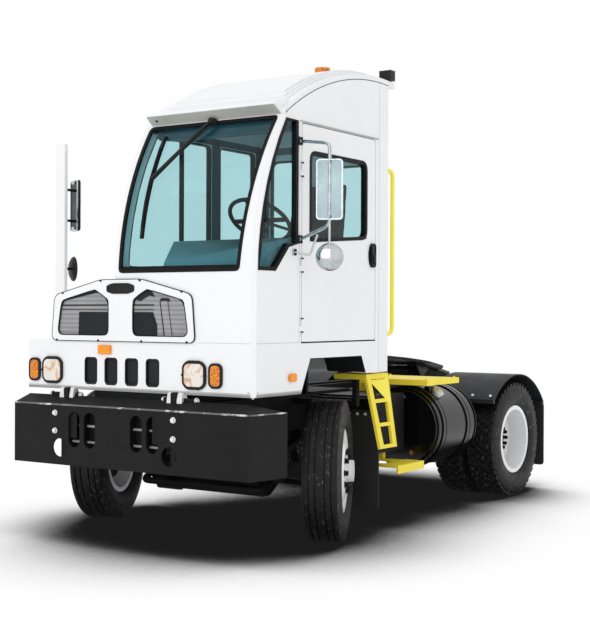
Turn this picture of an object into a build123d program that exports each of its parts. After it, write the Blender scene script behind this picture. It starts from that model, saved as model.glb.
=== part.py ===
from build123d import *
import os
from math import atan2, cos, degrees, hypot, radians, sin, sqrt

# Terminal tractor. Millimetres, +Z up, the front faces -Y and the vehicle's left is +X.
# While it is drawn, the origin lies on the ground below the middle of the rear axle.
# At the end every piece is moved so that the origin is below the middle of the whole tractor.

# Running gear
WHEELBASE = 2946
TYRE_RADIUS = 510
TYRE_WIDTH = 279
FRONT_TRACK = 2040
REAR_TRACK = 2159
TWIN_SPACING = 330
BEAD_RADIUS = 289
BEAD_WIDTH = 196
RIM_FLANGE_RADIUS = 303
RIM_FLANGE = 14
RIM_BORE_RADIUS = 268
DISC = 14
SEAT_GAP = 0.3
FRONT_AXLE_Y = -WHEELBASE
AXLE_Z = TYRE_RADIUS

# Steering, drawn turned to the left
KINGPIN_INSET = 130
KINGPIN_X = FRONT_TRACK / 2 - KINGPIN_INSET
KINGPIN_RADIUS = 25
STEER_LEFT = 25
STEER_RIGHT = 20
ARM_INWARD = 90
ARM_BACK = 230
EAR_THICK = 30
EYE_HEIGHT = 140
EYE_RADIUS = 52
SPINDLE_RADIUS = 45
TIE_ROD_RADIUS = 19
TIE_ROD_EYE = 32
TIE_PIN_RADIUS = 12

# Frame
RAIL_OUTSIDE = 430
RAIL_DEPTH = 270
RAIL_FLANGE = 85
RAIL_WALL = 10
RAIL_TOP = 1010
RAIL_MIDDLE = RAIL_TOP - RAIL_DEPTH / 2
RAIL_BOTTOM = RAIL_TOP - RAIL_DEPTH
BUMPER_FRONT = -4086
BUMPER_PLATE = 14
FRAME_FRONT = -4035
FRAME_REAR = 700
OUTRIGGER = 40

# Bumper, wider on the cab's side
BUMPER_RIGHT = -943
BUMPER_LEFT = 1160
BUMPER_RETURN = 350
BUMPER_FLARE = 56
BUMPER_LOW = 564
BUMPER_HIGH = 991
BUMPER_TOP_RISE = 62
BUMPER_TOP_DEPTH = 86
SLOT_WIDTH = 105
SLOT_HEIGHT = 250
SLOT_Z = 820
HIP = 70
TOW_HOLE_X = 499
TOW_HOLE_Z = 685
TOW_HOLE_RADIUS = 65

# Cab
CAB_LEFT = 1129
CAB_RIGHT = -60
CAB_FRONT = -3996
CAB_REAR = -2247
WALL = 40
FENDER_RIGHT = -890
PANEL_LOW = 1098
PANEL_HEIGHT = 348
SEAM = PANEL_LOW + PANEL_HEIGHT
SCREEN_BEND_Z = SEAM + 426
SCREEN_RADIUS = 2000
ROOF_FRONT_Z = SEAM + 1532
ROOF_FRONT = (CAB_FRONT + SCREEN_RADIUS - sqrt(SCREEN_RADIUS ** 2 - (ROOF_FRONT_Z - SCREEN_BEND_Z) ** 2) + 7,
              ROOF_FRONT_Z)
ROOF_MIDDLE = (-2946, SEAM + 1857)
ROOF_REAR = (CAB_REAR + 100, SEAM + 1919)
ROOF_THICK = 38
CROWN_RISE = 42
CROWN_INSET = 60
BROW = 75
BROW_LIP = 12
FLOOR_LOW = SEAM - 51
FLOOR_HIGH = FLOOR_LOW + 40
FIREWALL_Y = -3740
SHELF_TOP = SEAM + 444
SKIRT_REAR_Z = PANEL_LOW + 107
ARCH_Z = SEAM - 111
HINGE_Y = -3960
HINGE_Z = 1053
HINGE_X = 470
HINGE_PIN = 15

# Windows and doors
SCREEN_LOW_X = (CAB_RIGHT + 36, CAB_LEFT - 122)
SCREEN_HIGH_X = (CAB_RIGHT + 52, CAB_LEFT - 38)
SCREEN_Z = (SEAM + 475, SEAM + 1518)
SCREEN_CORNER = 30
GLASS = 8
DOOR_Y = (-3445, -2435)
DOOR_Z = (SEAM - 4, SEAM + 1499)
DOOR_GAP = 8
DOOR_THICK = 45
DOOR_GLASS_Y = (-3340, -2565)
DOOR_GLASS_Z = (SEAM + 692, SEAM + 1314)
DOOR_SILL_RISE = 55
DOOR_AXIS_X = CAB_LEFT + 10
HINGE_BARREL = 9
DOOR_HINGES = (SEAM + 136, SEAM + 544, SEAM + 1194)
REAR_DOOR_X = (410, 1050)
REAR_DOOR_Z = (SEAM - 156, SEAM + 1454)
REAR_DOOR_THICK = 30
REAR_DOOR_GAP = 6

# Hood and grille
HOOD_SHOULDER = (624, SEAM + 320)
HOOD_CROWN = (185, SEAM + 426)
GRILLE_FOOT = 651
GRILLE_PROUD = 10
HOOD_WALL = 30
HOOD_REAR = -2300
LAMP_Z = PANEL_LOW + 132

# Fifth wheel and its lift
BOOM_PIVOT = (-1500, 930)
BOOM_SHAFT = 40
COUPLING_PIVOT = (-150, 1100)
COUPLING_TILT = 10
COUPLING_PIN = 25
PLATE_TOP = 85
PLATE = 25
BARREL_PIN = (-950, 740)
ROD_PIN = (-420, 960)
LIFT_X = 150
BARREL_RADIUS = 42
ROD_RADIUS = 22
LIFT_PIN = 16
BARREL_PIN_RADIUS = 18
BARREL_LENGTH = 400
ROD_EYE_HOLE = 32

# Left side equipment
TANK_RADIUS = 330
TANK_X = 825
TANK_Z = 702
TANK_EDGE = 34
TANK_Y = (-1440, -740)
DECK_Y = (-1630, -1059)
DECK_TOP = 1111
DECK_THICK = 45
DECK_LEFT = 1150
LADDER_TOP = (1090, 1190)
LADDER_FOOT = (1190, 635)
LADDER_TOP_Y = (-2503, -2172)
LADDER_FOOT_Y = (-2452, -2199)
LADDER_BAR = 60
LADDER_PLATE = 22
FENDER_HALF_WIDTH = 1219
FENDER_INSIDE = 587
FENDER_SHEET = 8
FLAP = 10

pieces = []


def side(x):
    """Plane across the tractor at x, drawn in Y and Z."""
    return Plane.YZ.offset(x)


def front(y):
    """Plane facing forward at y, drawn in X and Z. It extrudes backward by a negative amount."""
    return Plane.XZ.offset(-y)


def level(z):
    """Level plane at z."""
    return Plane.XY.offset(z)


def keep(part, label):
    """Keeps a finished piece under its node's name."""
    part.label = label
    pieces.append(part)


def block(x, y, z):
    """Box between two limits along each axis, joined to the part being made."""
    with Locations(((x[0] + x[1]) / 2, (y[0] + y[1]) / 2, (z[0] + z[1]) / 2)):
        Box(abs(x[1] - x[0]), abs(y[1] - y[0]), abs(z[1] - z[0]))


def bar_across(x, y, z, radius, mode=Mode.ADD):
    """Round bar along X between two limits."""
    with Locations(Location(((x[0] + x[1]) / 2, y, z), (0, 90, 0))):
        Cylinder(radius, abs(x[1] - x[0]), mode=mode)


def post(x, y, z, radius, mode=Mode.ADD):
    """Round bar along Z between two limits."""
    with Locations((x, y, (z[0] + z[1]) / 2)):
        Cylinder(radius, z[1] - z[0], mode=mode)


def polygon(plane, points):
    """Face with straight edges through the points."""
    with BuildSketch(plane) as face:
        with BuildLine():
            Polyline(*points, close=True)
        make_face()
    return face.sketch


def rounded(plane, u, v, radius):
    """Rectangle with rounded corners between two limits each way."""
    with BuildSketch(plane) as face:
        with Locations(((u[0] + u[1]) / 2, (v[0] + v[1]) / 2)):
            RectangleRounded(u[1] - u[0], v[1] - v[0], radius)
    return face.sketch


def tube(points, radius, bends):
    """Round tube along straight runs joined by bends."""
    with BuildPart() as bent:
        with BuildLine() as route:
            FilletPolyline(*points, radius=bends)
        with BuildSketch(Plane(route.line @ 0, z_dir=route.line % 0)):
            Circle(radius)
        sweep()
    return bent.part


# Tyres and rims
def tyre_section(x, y):
    """Half section of a tyre whose middle is at x on the axle at y."""
    half = TYRE_WIDTH / 2
    bead = BEAD_WIDTH / 2
    tread = half * 0.74
    side_points = [(bead, BEAD_RADIUS), (bead, RIM_FLANGE_RADIUS + 3), (half * 0.84, 316), (half, 395),
                   (half * 0.88, 480), (half * 0.84, 500), (tread, TYRE_RADIUS)]
    with BuildSketch(front(y)) as face:
        with BuildLine():
            for s in (-1, 1):
                p = [(x + s * u, AXLE_Z + r) for u, r in side_points]
                Polyline(p[0], p[1], p[2])
                ThreePointArc(p[2], p[3], p[4])
                ThreePointArc(p[4], p[5], p[6])
            Line((x - tread, AXLE_Z + TYRE_RADIUS), (x + tread, AXLE_Z + TYRE_RADIUS))
            Line((x - bead, AXLE_Z + BEAD_RADIUS), (x + bead, AXLE_Z + BEAD_RADIUS))
        make_face()
    return face.sketch


def rim_section(x, y, s, offset, disc_bore):
    """Half section of a rim whose disc stands offset from its middle, to the side s."""
    bead = BEAD_WIDTH / 2 + SEAT_GAP
    flange = bead + RIM_FLANGE
    seat = BEAD_RADIUS - SEAT_GAP
    deep = 172
    barrel = [(-flange, RIM_BORE_RADIUS), (-flange, RIM_FLANGE_RADIUS), (-bead, RIM_FLANGE_RADIUS), (-bead, seat)]
    mirrored = [(-u, r) for u, r in reversed(barrel)]
    cone = [(s * (bead - 40), RIM_BORE_RADIUS + 2), (s * (bead - 15), RIM_BORE_RADIUS + 2),
            (s * offset, deep), (s * offset, disc_bore), (s * (offset - DISC), disc_bore),
            (s * (offset - DISC), deep + 4)]
    with BuildSketch(front(y)) as face:
        for ring in (barrel + mirrored, cone):
            with BuildLine():
                Polyline(*[(x + u, AXLE_Z + r) for u, r in ring], close=True)
            make_face()
    return face.sketch


def stepped_section(y, steps):
    """Half section of a turned piece from steps of x from, x to, inside radius and outside radius."""
    with BuildSketch(front(y)) as face:
        for x0, x1, inside, outside in steps:
            with Locations(((x0 + x1) / 2, AXLE_Z + (inside + outside) / 2)):
                Rectangle(abs(x1 - x0), outside - inside)
    return face.sketch


def axle_axis(y):
    """Line through a wheel pair's middle."""
    return Axis((0, y, AXLE_Z), (1, 0, 0))


def steered(part, s):
    """Turns a front wheel's piece to the drawn steering angle about its kingpin."""
    angle = STEER_LEFT if s > 0 else STEER_RIGHT
    return part.rotate(Axis((s * KINGPIN_X, FRONT_AXLE_Y, 0), (0, 0, 1)), angle)


FRONT_HUB_FACE = 130
REAR_HUB_FACE = TWIN_SPACING / 2
SPINDLE_END = KINGPIN_X + 250
REAR_SPINDLE = 60
REAR_SPINDLE_END = 880

for s, name in ((1, "left"), (-1, "right")):
    middle = s * FRONT_TRACK / 2
    with BuildPart() as front_tyre:
        revolve(tyre_section(middle, FRONT_AXLE_Y), axis=axle_axis(FRONT_AXLE_Y))
    keep(steered(front_tyre.part, s), f"front_tyre_{name}")

    hub_face = FRONT_TRACK / 2 + FRONT_HUB_FACE
    hub_steps = [
        (s * (KINGPIN_X + 115), s * hub_face, SPINDLE_RADIUS + SEAT_GAP, 120),
        (s * (SPINDLE_END + SEAT_GAP), s * hub_face, 0, 120),
        (s * hub_face, s * (hub_face + 52), 0, 78),
    ]
    with BuildPart() as front_rim:
        revolve(rim_section(middle, FRONT_AXLE_Y, s, FRONT_HUB_FACE, 100), axis=axle_axis(FRONT_AXLE_Y))
        revolve(stepped_section(FRONT_AXLE_Y, hub_steps), axis=axle_axis(FRONT_AXLE_Y))
    keep(steered(front_rim.part, s), f"front_rim_{name}")

    outer = s * REAR_TRACK / 2
    inner = outer - s * TWIN_SPACING
    with BuildPart() as rear_tyres:
        for x in (outer, inner):
            revolve(tyre_section(x, 0), axis=axle_axis(0))
    keep(rear_tyres.part, f"rear_tyres_{name}")

    face_x = REAR_TRACK / 2 - REAR_HUB_FACE
    hub_steps = [
        (s * 640, s * face_x, REAR_SPINDLE + SEAT_GAP, 150),
        (s * (REAR_SPINDLE_END + SEAT_GAP), s * face_x, 0, 150),
        (s * face_x, s * (face_x + 95), 0, 105),
        (s * 640, s * 740, 140, 205),
    ]
    with BuildPart() as rear_rims:
        revolve(rim_section(outer, 0, -s, REAR_HUB_FACE, 60), axis=axle_axis(0))
        revolve(rim_section(inner, 0, s, REAR_HUB_FACE, 60), axis=axle_axis(0))
        revolve(stepped_section(0, hub_steps), axis=axle_axis(0))
    keep(rear_rims.part, f"rear_rims_{name}")

# Knuckles with kingpin, spindle, brake plate and steering arm
EAR_LOW = AXLE_Z - EYE_HEIGHT / 2 - 3 - EAR_THICK
EAR_HIGH = AXLE_Z + EYE_HEIGHT / 2 + 3
YOKE = 62
TIE_PIN_DROP = 45
for s, name in ((1, "left"), (-1, "right")):
    with BuildPart() as knuckle:
        post(s * KINGPIN_X, FRONT_AXLE_Y, (EAR_LOW, EAR_HIGH + EAR_THICK), KINGPIN_RADIUS)
        for z in (EAR_LOW, EAR_HIGH):
            post(s * KINGPIN_X, FRONT_AXLE_Y, (z, z + EAR_THICK), EYE_RADIUS)
            block((s * KINGPIN_X, s * (KINGPIN_X + YOKE + 33)), (FRONT_AXLE_Y - 45, FRONT_AXLE_Y + 45),
                  (z, z + EAR_THICK))
        block((s * (KINGPIN_X + YOKE), s * (KINGPIN_X + YOKE + 33)), (FRONT_AXLE_Y - 60, FRONT_AXLE_Y + 60),
              (EAR_LOW, EAR_HIGH + EAR_THICK))
        bar_across((s * (KINGPIN_X + YOKE), s * SPINDLE_END), FRONT_AXLE_Y, AXLE_Z, SPINDLE_RADIUS)
        bar_across((s * (KINGPIN_X + 95), s * (KINGPIN_X + 110)), FRONT_AXLE_Y, AXLE_Z, 190)
        ball = (s * (KINGPIN_X - ARM_INWARD), FRONT_AXLE_Y + ARM_BACK)
        with BuildSketch(level(EAR_LOW)):
            with BuildLine():
                Polyline((s * (KINGPIN_X - 30), FRONT_AXLE_Y), (s * (KINGPIN_X + 40), FRONT_AXLE_Y),
                         (s * (KINGPIN_X + 30), FRONT_AXLE_Y + 90), (ball[0] + s * 24, ball[1]),
                         (ball[0] - s * 24, ball[1]), (s * (KINGPIN_X - 50), FRONT_AXLE_Y + 60), close=True)
            make_face()
            with Locations(ball):
                Circle(28)
        extrude(amount=EAR_THICK)
        if s > 0:
            post(ball[0], ball[1], (EAR_LOW - TIE_PIN_DROP, EAR_LOW + 5), TIE_PIN_RADIUS)
    keep(steered(knuckle.part, s), f"knuckle_{name}")


def arm_ball(s, angle):
    """Place of a steering arm's ball in plan at a steering angle."""
    u, v = -s * ARM_INWARD, ARM_BACK
    turn = radians(angle)
    return (s * KINGPIN_X + u * cos(turn) - v * sin(turn), FRONT_AXLE_Y + u * sin(turn) + v * cos(turn))


# Tie rod below the arms, hung on the left arm's pin
left_ball = arm_ball(1, STEER_LEFT)
right_ball = arm_ball(-1, STEER_RIGHT)
tie_length = hypot(left_ball[0] - right_ball[0], left_ball[1] - right_ball[1])
tie_z = EAR_LOW - 5 - TIE_ROD_RADIUS
toward_right = Vector(right_ball[0] - left_ball[0], right_ball[1] - left_ball[1], 0)
rod_plane = Plane((left_ball[0], left_ball[1], tie_z), x_dir=Vector(0, 0, 1), z_dir=toward_right)
with BuildPart() as tie_rod:
    with BuildSketch(rod_plane):
        Circle(TIE_ROD_RADIUS)
    extrude(amount=tie_length)
    for x, y in (left_ball, right_ball):
        post(x, y, (tie_z - TIE_ROD_RADIUS, tie_z + TIE_ROD_RADIUS), TIE_ROD_EYE)
    post(left_ball[0], left_ball[1], (tie_z - 50, tie_z + 50), TIE_PIN_RADIUS + SEAT_GAP, Mode.SUBTRACT)
keep(tie_rod.part, "tie_rod")

# Front axle beam with a dropped middle and an eye at each kingpin
BEAM_TOP = 490
BEAM_HALF = 45
beam_half = [(0, BEAM_TOP), (KINGPIN_X - 210, BEAM_TOP), (KINGPIN_X - 100, 565), (KINGPIN_X - 30, 565),
             (KINGPIN_X - 30, 455), (KINGPIN_X - 90, 455), (KINGPIN_X - 190, 449), (KINGPIN_X - 280, 390), (0, 390)]
with BuildPart() as front_axle:
    for s in (-1, 1):
        extrude(polygon(front(FRONT_AXLE_Y), [(s * x, z) for x, z in beam_half]), amount=BEAM_HALF, both=True)
        eye = (AXLE_Z - EYE_HEIGHT / 2, AXLE_Z + EYE_HEIGHT / 2)
        post(s * KINGPIN_X, FRONT_AXLE_Y, eye, EYE_RADIUS)
    for s in (-1, 1):
        post(s * KINGPIN_X, FRONT_AXLE_Y, eye, KINGPIN_RADIUS + SEAT_GAP, Mode.SUBTRACT)
keep(front_axle.part, "front_axle")

# Leaf springs hung below the rails
SPRING_HALF = 600
SPRING_EYE_Z = 675
SPRING_MIDDLE = 30
SPRING_END = 15
spring_x = RAIL_OUTSIDE - RAIL_FLANGE / 2
with BuildPart() as front_springs:
    for s in (-1, 1):
        with BuildSketch(side(s * spring_x)):
            with BuildLine():
                ends = [FRONT_AXLE_Y - SPRING_HALF, FRONT_AXLE_Y + SPRING_HALF]
                low = BEAM_TOP + SEAT_GAP
                ThreePointArc((ends[0], SPRING_EYE_Z - SPRING_END), (FRONT_AXLE_Y, low),
                              (ends[1], SPRING_EYE_Z - SPRING_END))
                Line((ends[1], SPRING_EYE_Z - SPRING_END), (ends[1], SPRING_EYE_Z + SPRING_END))
                ThreePointArc((ends[1], SPRING_EYE_Z + SPRING_END), (FRONT_AXLE_Y, low + 2 * SPRING_MIDDLE),
                              (ends[0], SPRING_EYE_Z + SPRING_END))
                Line((ends[0], SPRING_EYE_Z + SPRING_END), (ends[0], SPRING_EYE_Z - SPRING_END))
            make_face()
        extrude(amount=RAIL_FLANGE / 2, both=True)
        for y in ends:
            block((s * (spring_x - 42), s * (spring_x + 42)), (y - 30, y + 30), (SPRING_EYE_Z - 30, RAIL_BOTTOM))
keep(front_springs.part, "front_springs")

# Rear axle, fixed below the rails, with the propeller shaft
ENGINE_REAR = -2480
SHAFT_RADIUS = 48
shaft_from = Vector(0, -150, AXLE_Z + 5)
shaft_to = Vector(0, ENGINE_REAR + SEAT_GAP, 820)
with BuildPart() as rear_axle:
    bar_across((-560, 560), 0, AXLE_Z, 75)
    bar_across((-REAR_SPINDLE_END, REAR_SPINDLE_END), 0, AXLE_Z, REAR_SPINDLE)
    with Locations((0, 0, AXLE_Z)):
        Sphere(190)
    for s in (-1, 1):
        block((s * (spring_x - 42), s * (spring_x + 42)), (-120, 120), (AXLE_Z + 30, RAIL_BOTTOM))
    with BuildSketch(Plane(shaft_from, z_dir=shaft_to - shaft_from)):
        Circle(SHAFT_RADIUS)
    extrude(amount=(shaft_to - shaft_from).length - 12)
    with BuildSketch(front(ENGINE_REAR + SEAT_GAP)):
        with Locations((0, 820)):
            Circle(80)
    extrude(amount=-20)
keep(rear_axle.part, "rear_axle")

# Frame rails, cross members, boom shaft, lift lugs, outriggers and cab hinge brackets
# Cross members: y from, y to, z from, z to
cross_members = [
    (-4010, -3790, 800, 900),
    (-2400, -2320, 880, 990),
    (-1720, -1640, 790, 960),
    (-1100, -1020, 690, 780),
    (620, FRAME_REAR, 760, 960),
]
web = RAIL_OUTSIDE - RAIL_WALL
LUG = 15
LUG_GAP = 30
FLAP_FRONT_Y = -2306
FLAP_FRONT_X = (FRONT_TRACK / 2 - 223, FRONT_TRACK / 2 + 68)
REST_X = 390
STEP_PLATE = 40
with BuildPart() as frame_rails:
    for s in (-1, 1):
        with BuildSketch(front(FRAME_FRONT)):
            with Locations((s * (RAIL_OUTSIDE - RAIL_FLANGE / 2), RAIL_MIDDLE)):
                Rectangle(RAIL_FLANGE, RAIL_DEPTH)
            with Locations((s * (web - RAIL_FLANGE / 2), RAIL_MIDDLE)):
                Rectangle(RAIL_FLANGE, RAIL_DEPTH - 2 * RAIL_WALL, mode=Mode.SUBTRACT)
        extrude(amount=FRAME_FRONT - FRAME_REAR)
        block((s * RAIL_OUTSIDE, s * FLAP_FRONT_X[1]), (FLAP_FRONT_Y + FLAP, FLAP_FRONT_Y + FLAP + OUTRIGGER),
              (860, 900))
        block((s * web, s * (HINGE_X + 70)), (FRAME_FRONT, HINGE_Y + 40), (900, 1000))
        for x in (HINGE_X - LUG_GAP, HINGE_X + LUG_GAP):
            lug_x = (s * (x - LUG / 2), s * (x + LUG / 2))
            block(lug_x, (HINGE_Y - 25, HINGE_Y + 25), (990, HINGE_Z))
            bar_across(lug_x, HINGE_Y, HINGE_Z, 25)
        bar_across((s * (HINGE_X - LUG_GAP - LUG), s * (HINGE_X + LUG_GAP + LUG)), HINGE_Y, HINGE_Z, HINGE_PIN)
        for x in (LIFT_X - 37.5, LIFT_X + 37.5):
            block((s * (x - LUG / 2), s * (x + LUG / 2)), (-1060, BARREL_PIN[0] + 35), (705, 775))
        bar_across((s * (LIFT_X - 45), s * (LIFT_X + 45)), *BARREL_PIN, BARREL_PIN_RADIUS)
    for y0, y1, z0, z1 in cross_members:
        block((-web, web), (y0, y1), (z0, z1))
    block((-RAIL_OUTSIDE, RAIL_OUTSIDE), (-2240, -1640), (RAIL_TOP, RAIL_TOP + 12))
    bar_across((-web, web), *BOOM_PIVOT, BOOM_SHAFT)
    for y in (LADDER_TOP_Y[0] + 40, LADDER_TOP_Y[1] - 40):
        block((RAIL_OUTSIDE - RAIL_WALL, LADDER_TOP[0] - 90), (y - 20, y + 20), (945, 990))
        block((LADDER_TOP[0] - 130, LADDER_TOP[0] - 90), (y - 20, y + 20), (990, LADDER_TOP[1] - STEP_PLATE))
    for x, y in ((REST_X, CAB_REAR - WALL), (-REST_X, HOOD_REAR - HOOD_WALL)):
        block((x - 30, x + 30), (y, y + HOOD_WALL), (RAIL_TOP - 5, SKIRT_REAR_Z - SEAT_GAP))
keep(frame_rails.part, "frame_rails")

# Bumper with returns, sloped top, four slots and two tow holes
inside_front = BUMPER_FRONT + BUMPER_PLATE
bumper_outline = [
    (BUMPER_RIGHT - BUMPER_FLARE, BUMPER_FRONT + BUMPER_RETURN), (BUMPER_RIGHT, BUMPER_FRONT),
    (BUMPER_LEFT, BUMPER_FRONT), (BUMPER_LEFT + BUMPER_FLARE, BUMPER_FRONT + BUMPER_RETURN),
    (BUMPER_LEFT + BUMPER_FLARE - BUMPER_PLATE, BUMPER_FRONT + BUMPER_RETURN),
    (BUMPER_LEFT - BUMPER_PLATE, inside_front), (BUMPER_RIGHT + BUMPER_PLATE, inside_front),
    (BUMPER_RIGHT - BUMPER_FLARE + BUMPER_PLATE, BUMPER_FRONT + BUMPER_RETURN),
]
top_slope = [
    (BUMPER_FRONT, BUMPER_HIGH), (BUMPER_FRONT + BUMPER_TOP_DEPTH, BUMPER_HIGH + BUMPER_TOP_RISE),
    (BUMPER_FRONT + BUMPER_TOP_DEPTH, BUMPER_HIGH + BUMPER_TOP_RISE - 12), (inside_front, BUMPER_HIGH - 10),
    (BUMPER_FRONT, BUMPER_HIGH - 10),
]
with BuildPart() as bumper:
    extrude(polygon(level(BUMPER_LOW), bumper_outline), amount=BUMPER_HIGH - BUMPER_LOW)
    extrude(polygon(side(BUMPER_RIGHT + HIP), top_slope), amount=BUMPER_LEFT - BUMPER_RIGHT - 2 * HIP)
    for x, s in ((BUMPER_RIGHT, -1), (BUMPER_LEFT, 1)):
        corner = (x, BUMPER_FRONT, BUMPER_HIGH)
        foot = (x - s * HIP, BUMPER_FRONT, BUMPER_HIGH)
        peak = (x - s * HIP, BUMPER_FRONT + BUMPER_TOP_DEPTH, BUMPER_HIGH + BUMPER_TOP_RISE)
        end = (x + s * BUMPER_FLARE, BUMPER_FRONT + BUMPER_RETURN, BUMPER_HIGH)
        for facet in ((corner, foot, peak), (corner, peak, end)):
            extrude(Face(Wire.make_polygon(facet)), amount=12, dir=(0, 0, -1))
    for s in (-1, 1):
        block((s * (RAIL_OUTSIDE - RAIL_FLANGE), s * RAIL_OUTSIDE), (inside_front - 2, FRAME_FRONT), (760, 970))
    with BuildSketch(front(BUMPER_FRONT)):
        with Locations(*[(x, SLOT_Z) for x in (-356, -212, 212, 356)]):
            SlotOverall(SLOT_HEIGHT, SLOT_WIDTH, rotation=90)
        with Locations((-TOW_HOLE_X, TOW_HOLE_Z), (TOW_HOLE_X, TOW_HOLE_Z)):
            Circle(TOW_HOLE_RADIUS)
    extrude(amount=-BUMPER_PLATE, mode=Mode.SUBTRACT)
keep(bumper.part, "bumper")

# Engine and radiator
with BuildPart() as engine_block:
    block((-280, 280), (-3560, ENGINE_REAR), (640, 1330))
    for s in (-1, 1):
        for y in (-3350, -2650):
            block((s * 270, s * (web - SEAT_GAP)), (y - 40, y + 40), (850, 900))
keep(engine_block.part, "engine_block")

with BuildPart() as radiator:
    block((-335, 335), (-3900, -3800), (900, 1380))
keep(radiator.part, "radiator")

# Fuel tank along the left rail, with straps, brackets and filler
STRAP_Y = (-1332, -891)
STRAP = 8
with BuildPart() as fuel_tank:
    with BuildSketch(front(TANK_Y[0])):
        with Locations((TANK_X, TANK_Z)):
            Circle(TANK_RADIUS)
    extrude(amount=TANK_Y[0] - TANK_Y[1])
    fillet(fuel_tank.edges().filter_by(GeomType.CIRCLE), TANK_EDGE)
    for y in STRAP_Y:
        with BuildSketch(front(y - 30)):
            with Locations((TANK_X, TANK_Z)):
                Circle(TANK_RADIUS + STRAP)
                Circle(TANK_RADIUS - 5, mode=Mode.SUBTRACT)
        extrude(amount=-60)
        block((RAIL_OUTSIDE, TANK_X - 200), (y - 30, y + 30), (RAIL_BOTTOM - 150, RAIL_TOP - 120))
    post(TANK_X + 130, -1210, (TANK_Z + 200, TANK_Z + TANK_RADIUS + 2), 45)
keep(fuel_tank.part, "fuel_tank")

# Deck over the tank
with BuildPart() as deck:
    block((480, DECK_LEFT), DECK_Y, (DECK_TOP - DECK_THICK, DECK_TOP))
    for y in (DECK_Y[0] + 110, DECK_Y[1] - 40):
        block((RAIL_OUTSIDE, 500), (y - 25, y + 25), (900, DECK_TOP))
keep(deck.part, "deck")

# Battery box below the ladder's rear
BOX_X = (RAIL_OUTSIDE, 900)
BOX_Y = (-2100, -1560)
BOX_Z = (540, 1000)
with BuildPart() as battery_box:
    block(BOX_X, BOX_Y, BOX_Z)
keep(battery_box.part, "battery_box")

# Ladder leaning outward, upper step on its arms, lower step below the battery box
FOOT_STEP_X = (985, 1150)
FOOT_STEP_Y = (-2110, -1683)
FOOT_STEP_Z = 474
lean = Vector(LADDER_FOOT[0] - LADDER_TOP[0], 0, LADDER_FOOT[1] - LADDER_TOP[1])
ladder_middle = (LADDER_TOP_Y[0] + LADDER_TOP_Y[1]) / 2
ladder_plane = Plane((LADDER_TOP[0], ladder_middle, LADDER_TOP[1]), x_dir=(0, 1, 0), z_dir=(-lean.Z, 0, lean.X))
with BuildPart() as steps:
    with BuildSketch(ladder_plane):
        foot = -lean.length
        for top_y, foot_y, s in zip(LADDER_TOP_Y, LADDER_FOOT_Y, (1, -1)):
            u0, u1 = top_y - ladder_middle, foot_y - ladder_middle
            with BuildLine():
                Polyline((u0, 0), (u0 + s * LADDER_BAR, 0), (u1 + s * LADDER_BAR, foot), (u1, foot), close=True)
            make_face()
        for v in (-205, -385, foot + 14):
            with Locations(((LADDER_FOOT_Y[0] + LADDER_FOOT_Y[1]) / 2 - ladder_middle, v)):
                Rectangle(230, 28)
    extrude(amount=-LADDER_PLATE)
    block((810, LADDER_TOP[0] + 4), LADDER_TOP_Y, (LADDER_TOP[1] - STEP_PLATE, LADDER_TOP[1]))
    block((FOOT_STEP_X[0], FOOT_STEP_X[1]), FOOT_STEP_Y, (FOOT_STEP_Z - 20, FOOT_STEP_Z))
    block((FOOT_STEP_X[1] - 15, FOOT_STEP_X[1]), FOOT_STEP_Y, (FOOT_STEP_Z - 62, FOOT_STEP_Z))
    for y in (FOOT_STEP_Y[0] + 60, FOOT_STEP_Y[1] - 60):
        block((BOX_X[1] - 120, FOOT_STEP_X[0] + 20), (y - 20, y + 20), (FOOT_STEP_Z - 20, FOOT_STEP_Z))
        block((BOX_X[1] - 120, BOX_X[1] - 80), (y - 20, y + 20), (FOOT_STEP_Z - 20, BOX_Z[0]))
keep(steps.part, "steps")

# Rear fenders, arched over the twin tyres, with their bars to the rails
FENDER_BAR_Y = (575, 610)
fender_low = [(-505, 892), (15, 1098), (FENDER_BAR_Y[1] - 2, 820)]
with BuildPart() as rear_fenders:
    for s in (-1, 1):
        with BuildSketch(side(s * FENDER_INSIDE)):
            with BuildLine():
                ThreePointArc(*fender_low)
                Line(fender_low[2], (fender_low[2][0] - FENDER_SHEET, fender_low[2][1] - 4))
                ThreePointArc((fender_low[2][0] - FENDER_SHEET, fender_low[2][1] - 4),
                              (fender_low[1][0], fender_low[1][1] - FENDER_SHEET),
                              (fender_low[0][0] + FENDER_SHEET, fender_low[0][1] - 4))
                Line((fender_low[0][0] + FENDER_SHEET, fender_low[0][1] - 4), fender_low[0])
            make_face()
        extrude(amount=s * (FENDER_HALF_WIDTH - FENDER_INSIDE))
        block((s * RAIL_OUTSIDE, s * FENDER_HALF_WIDTH), (-527, -492), (860, 896))
        block((s * RAIL_OUTSIDE, s * FENDER_HALF_WIDTH), FENDER_BAR_Y, (778, 822))
keep(rear_fenders.part, "rear_fenders")

# Mud flaps behind the wheels
with BuildPart() as mud_flaps:
    for s in (-1, 1):
        for y, x, z in ((FENDER_BAR_Y[1], (620, FENDER_HALF_WIDTH), (216, 806)),
                        (FLAP_FRONT_Y, FLAP_FRONT_X, (150, 903))):
            limits = sorted((s * x[0], s * x[1]))
            extrude(rounded(front(y), limits, z, 30), amount=-FLAP)
keep(mud_flaps.part, "mud_flaps")

# Air tanks along the right rail
with BuildPart() as air_tanks:
    for z in (860, 620):
        with BuildSketch(front(-2100)):
            with Locations((-RAIL_OUTSIDE - 150, z)):
                Circle(110)
        extrude(amount=-600)
    for y in (-1950, -1650):
        block((-RAIL_OUTSIDE - 60, -RAIL_OUTSIDE), (y - 25, y + 25), (560, 930))
keep(air_tanks.part, "air_tanks")

with BuildPart() as rear_lamps:
    for s in (-1, 1):
        block((s * 455, s * 605), (FENDER_BAR_Y[1], FENDER_BAR_Y[1] + 35), (768, 828))
keep(rear_lamps.part, "rear_lamps")

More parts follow.
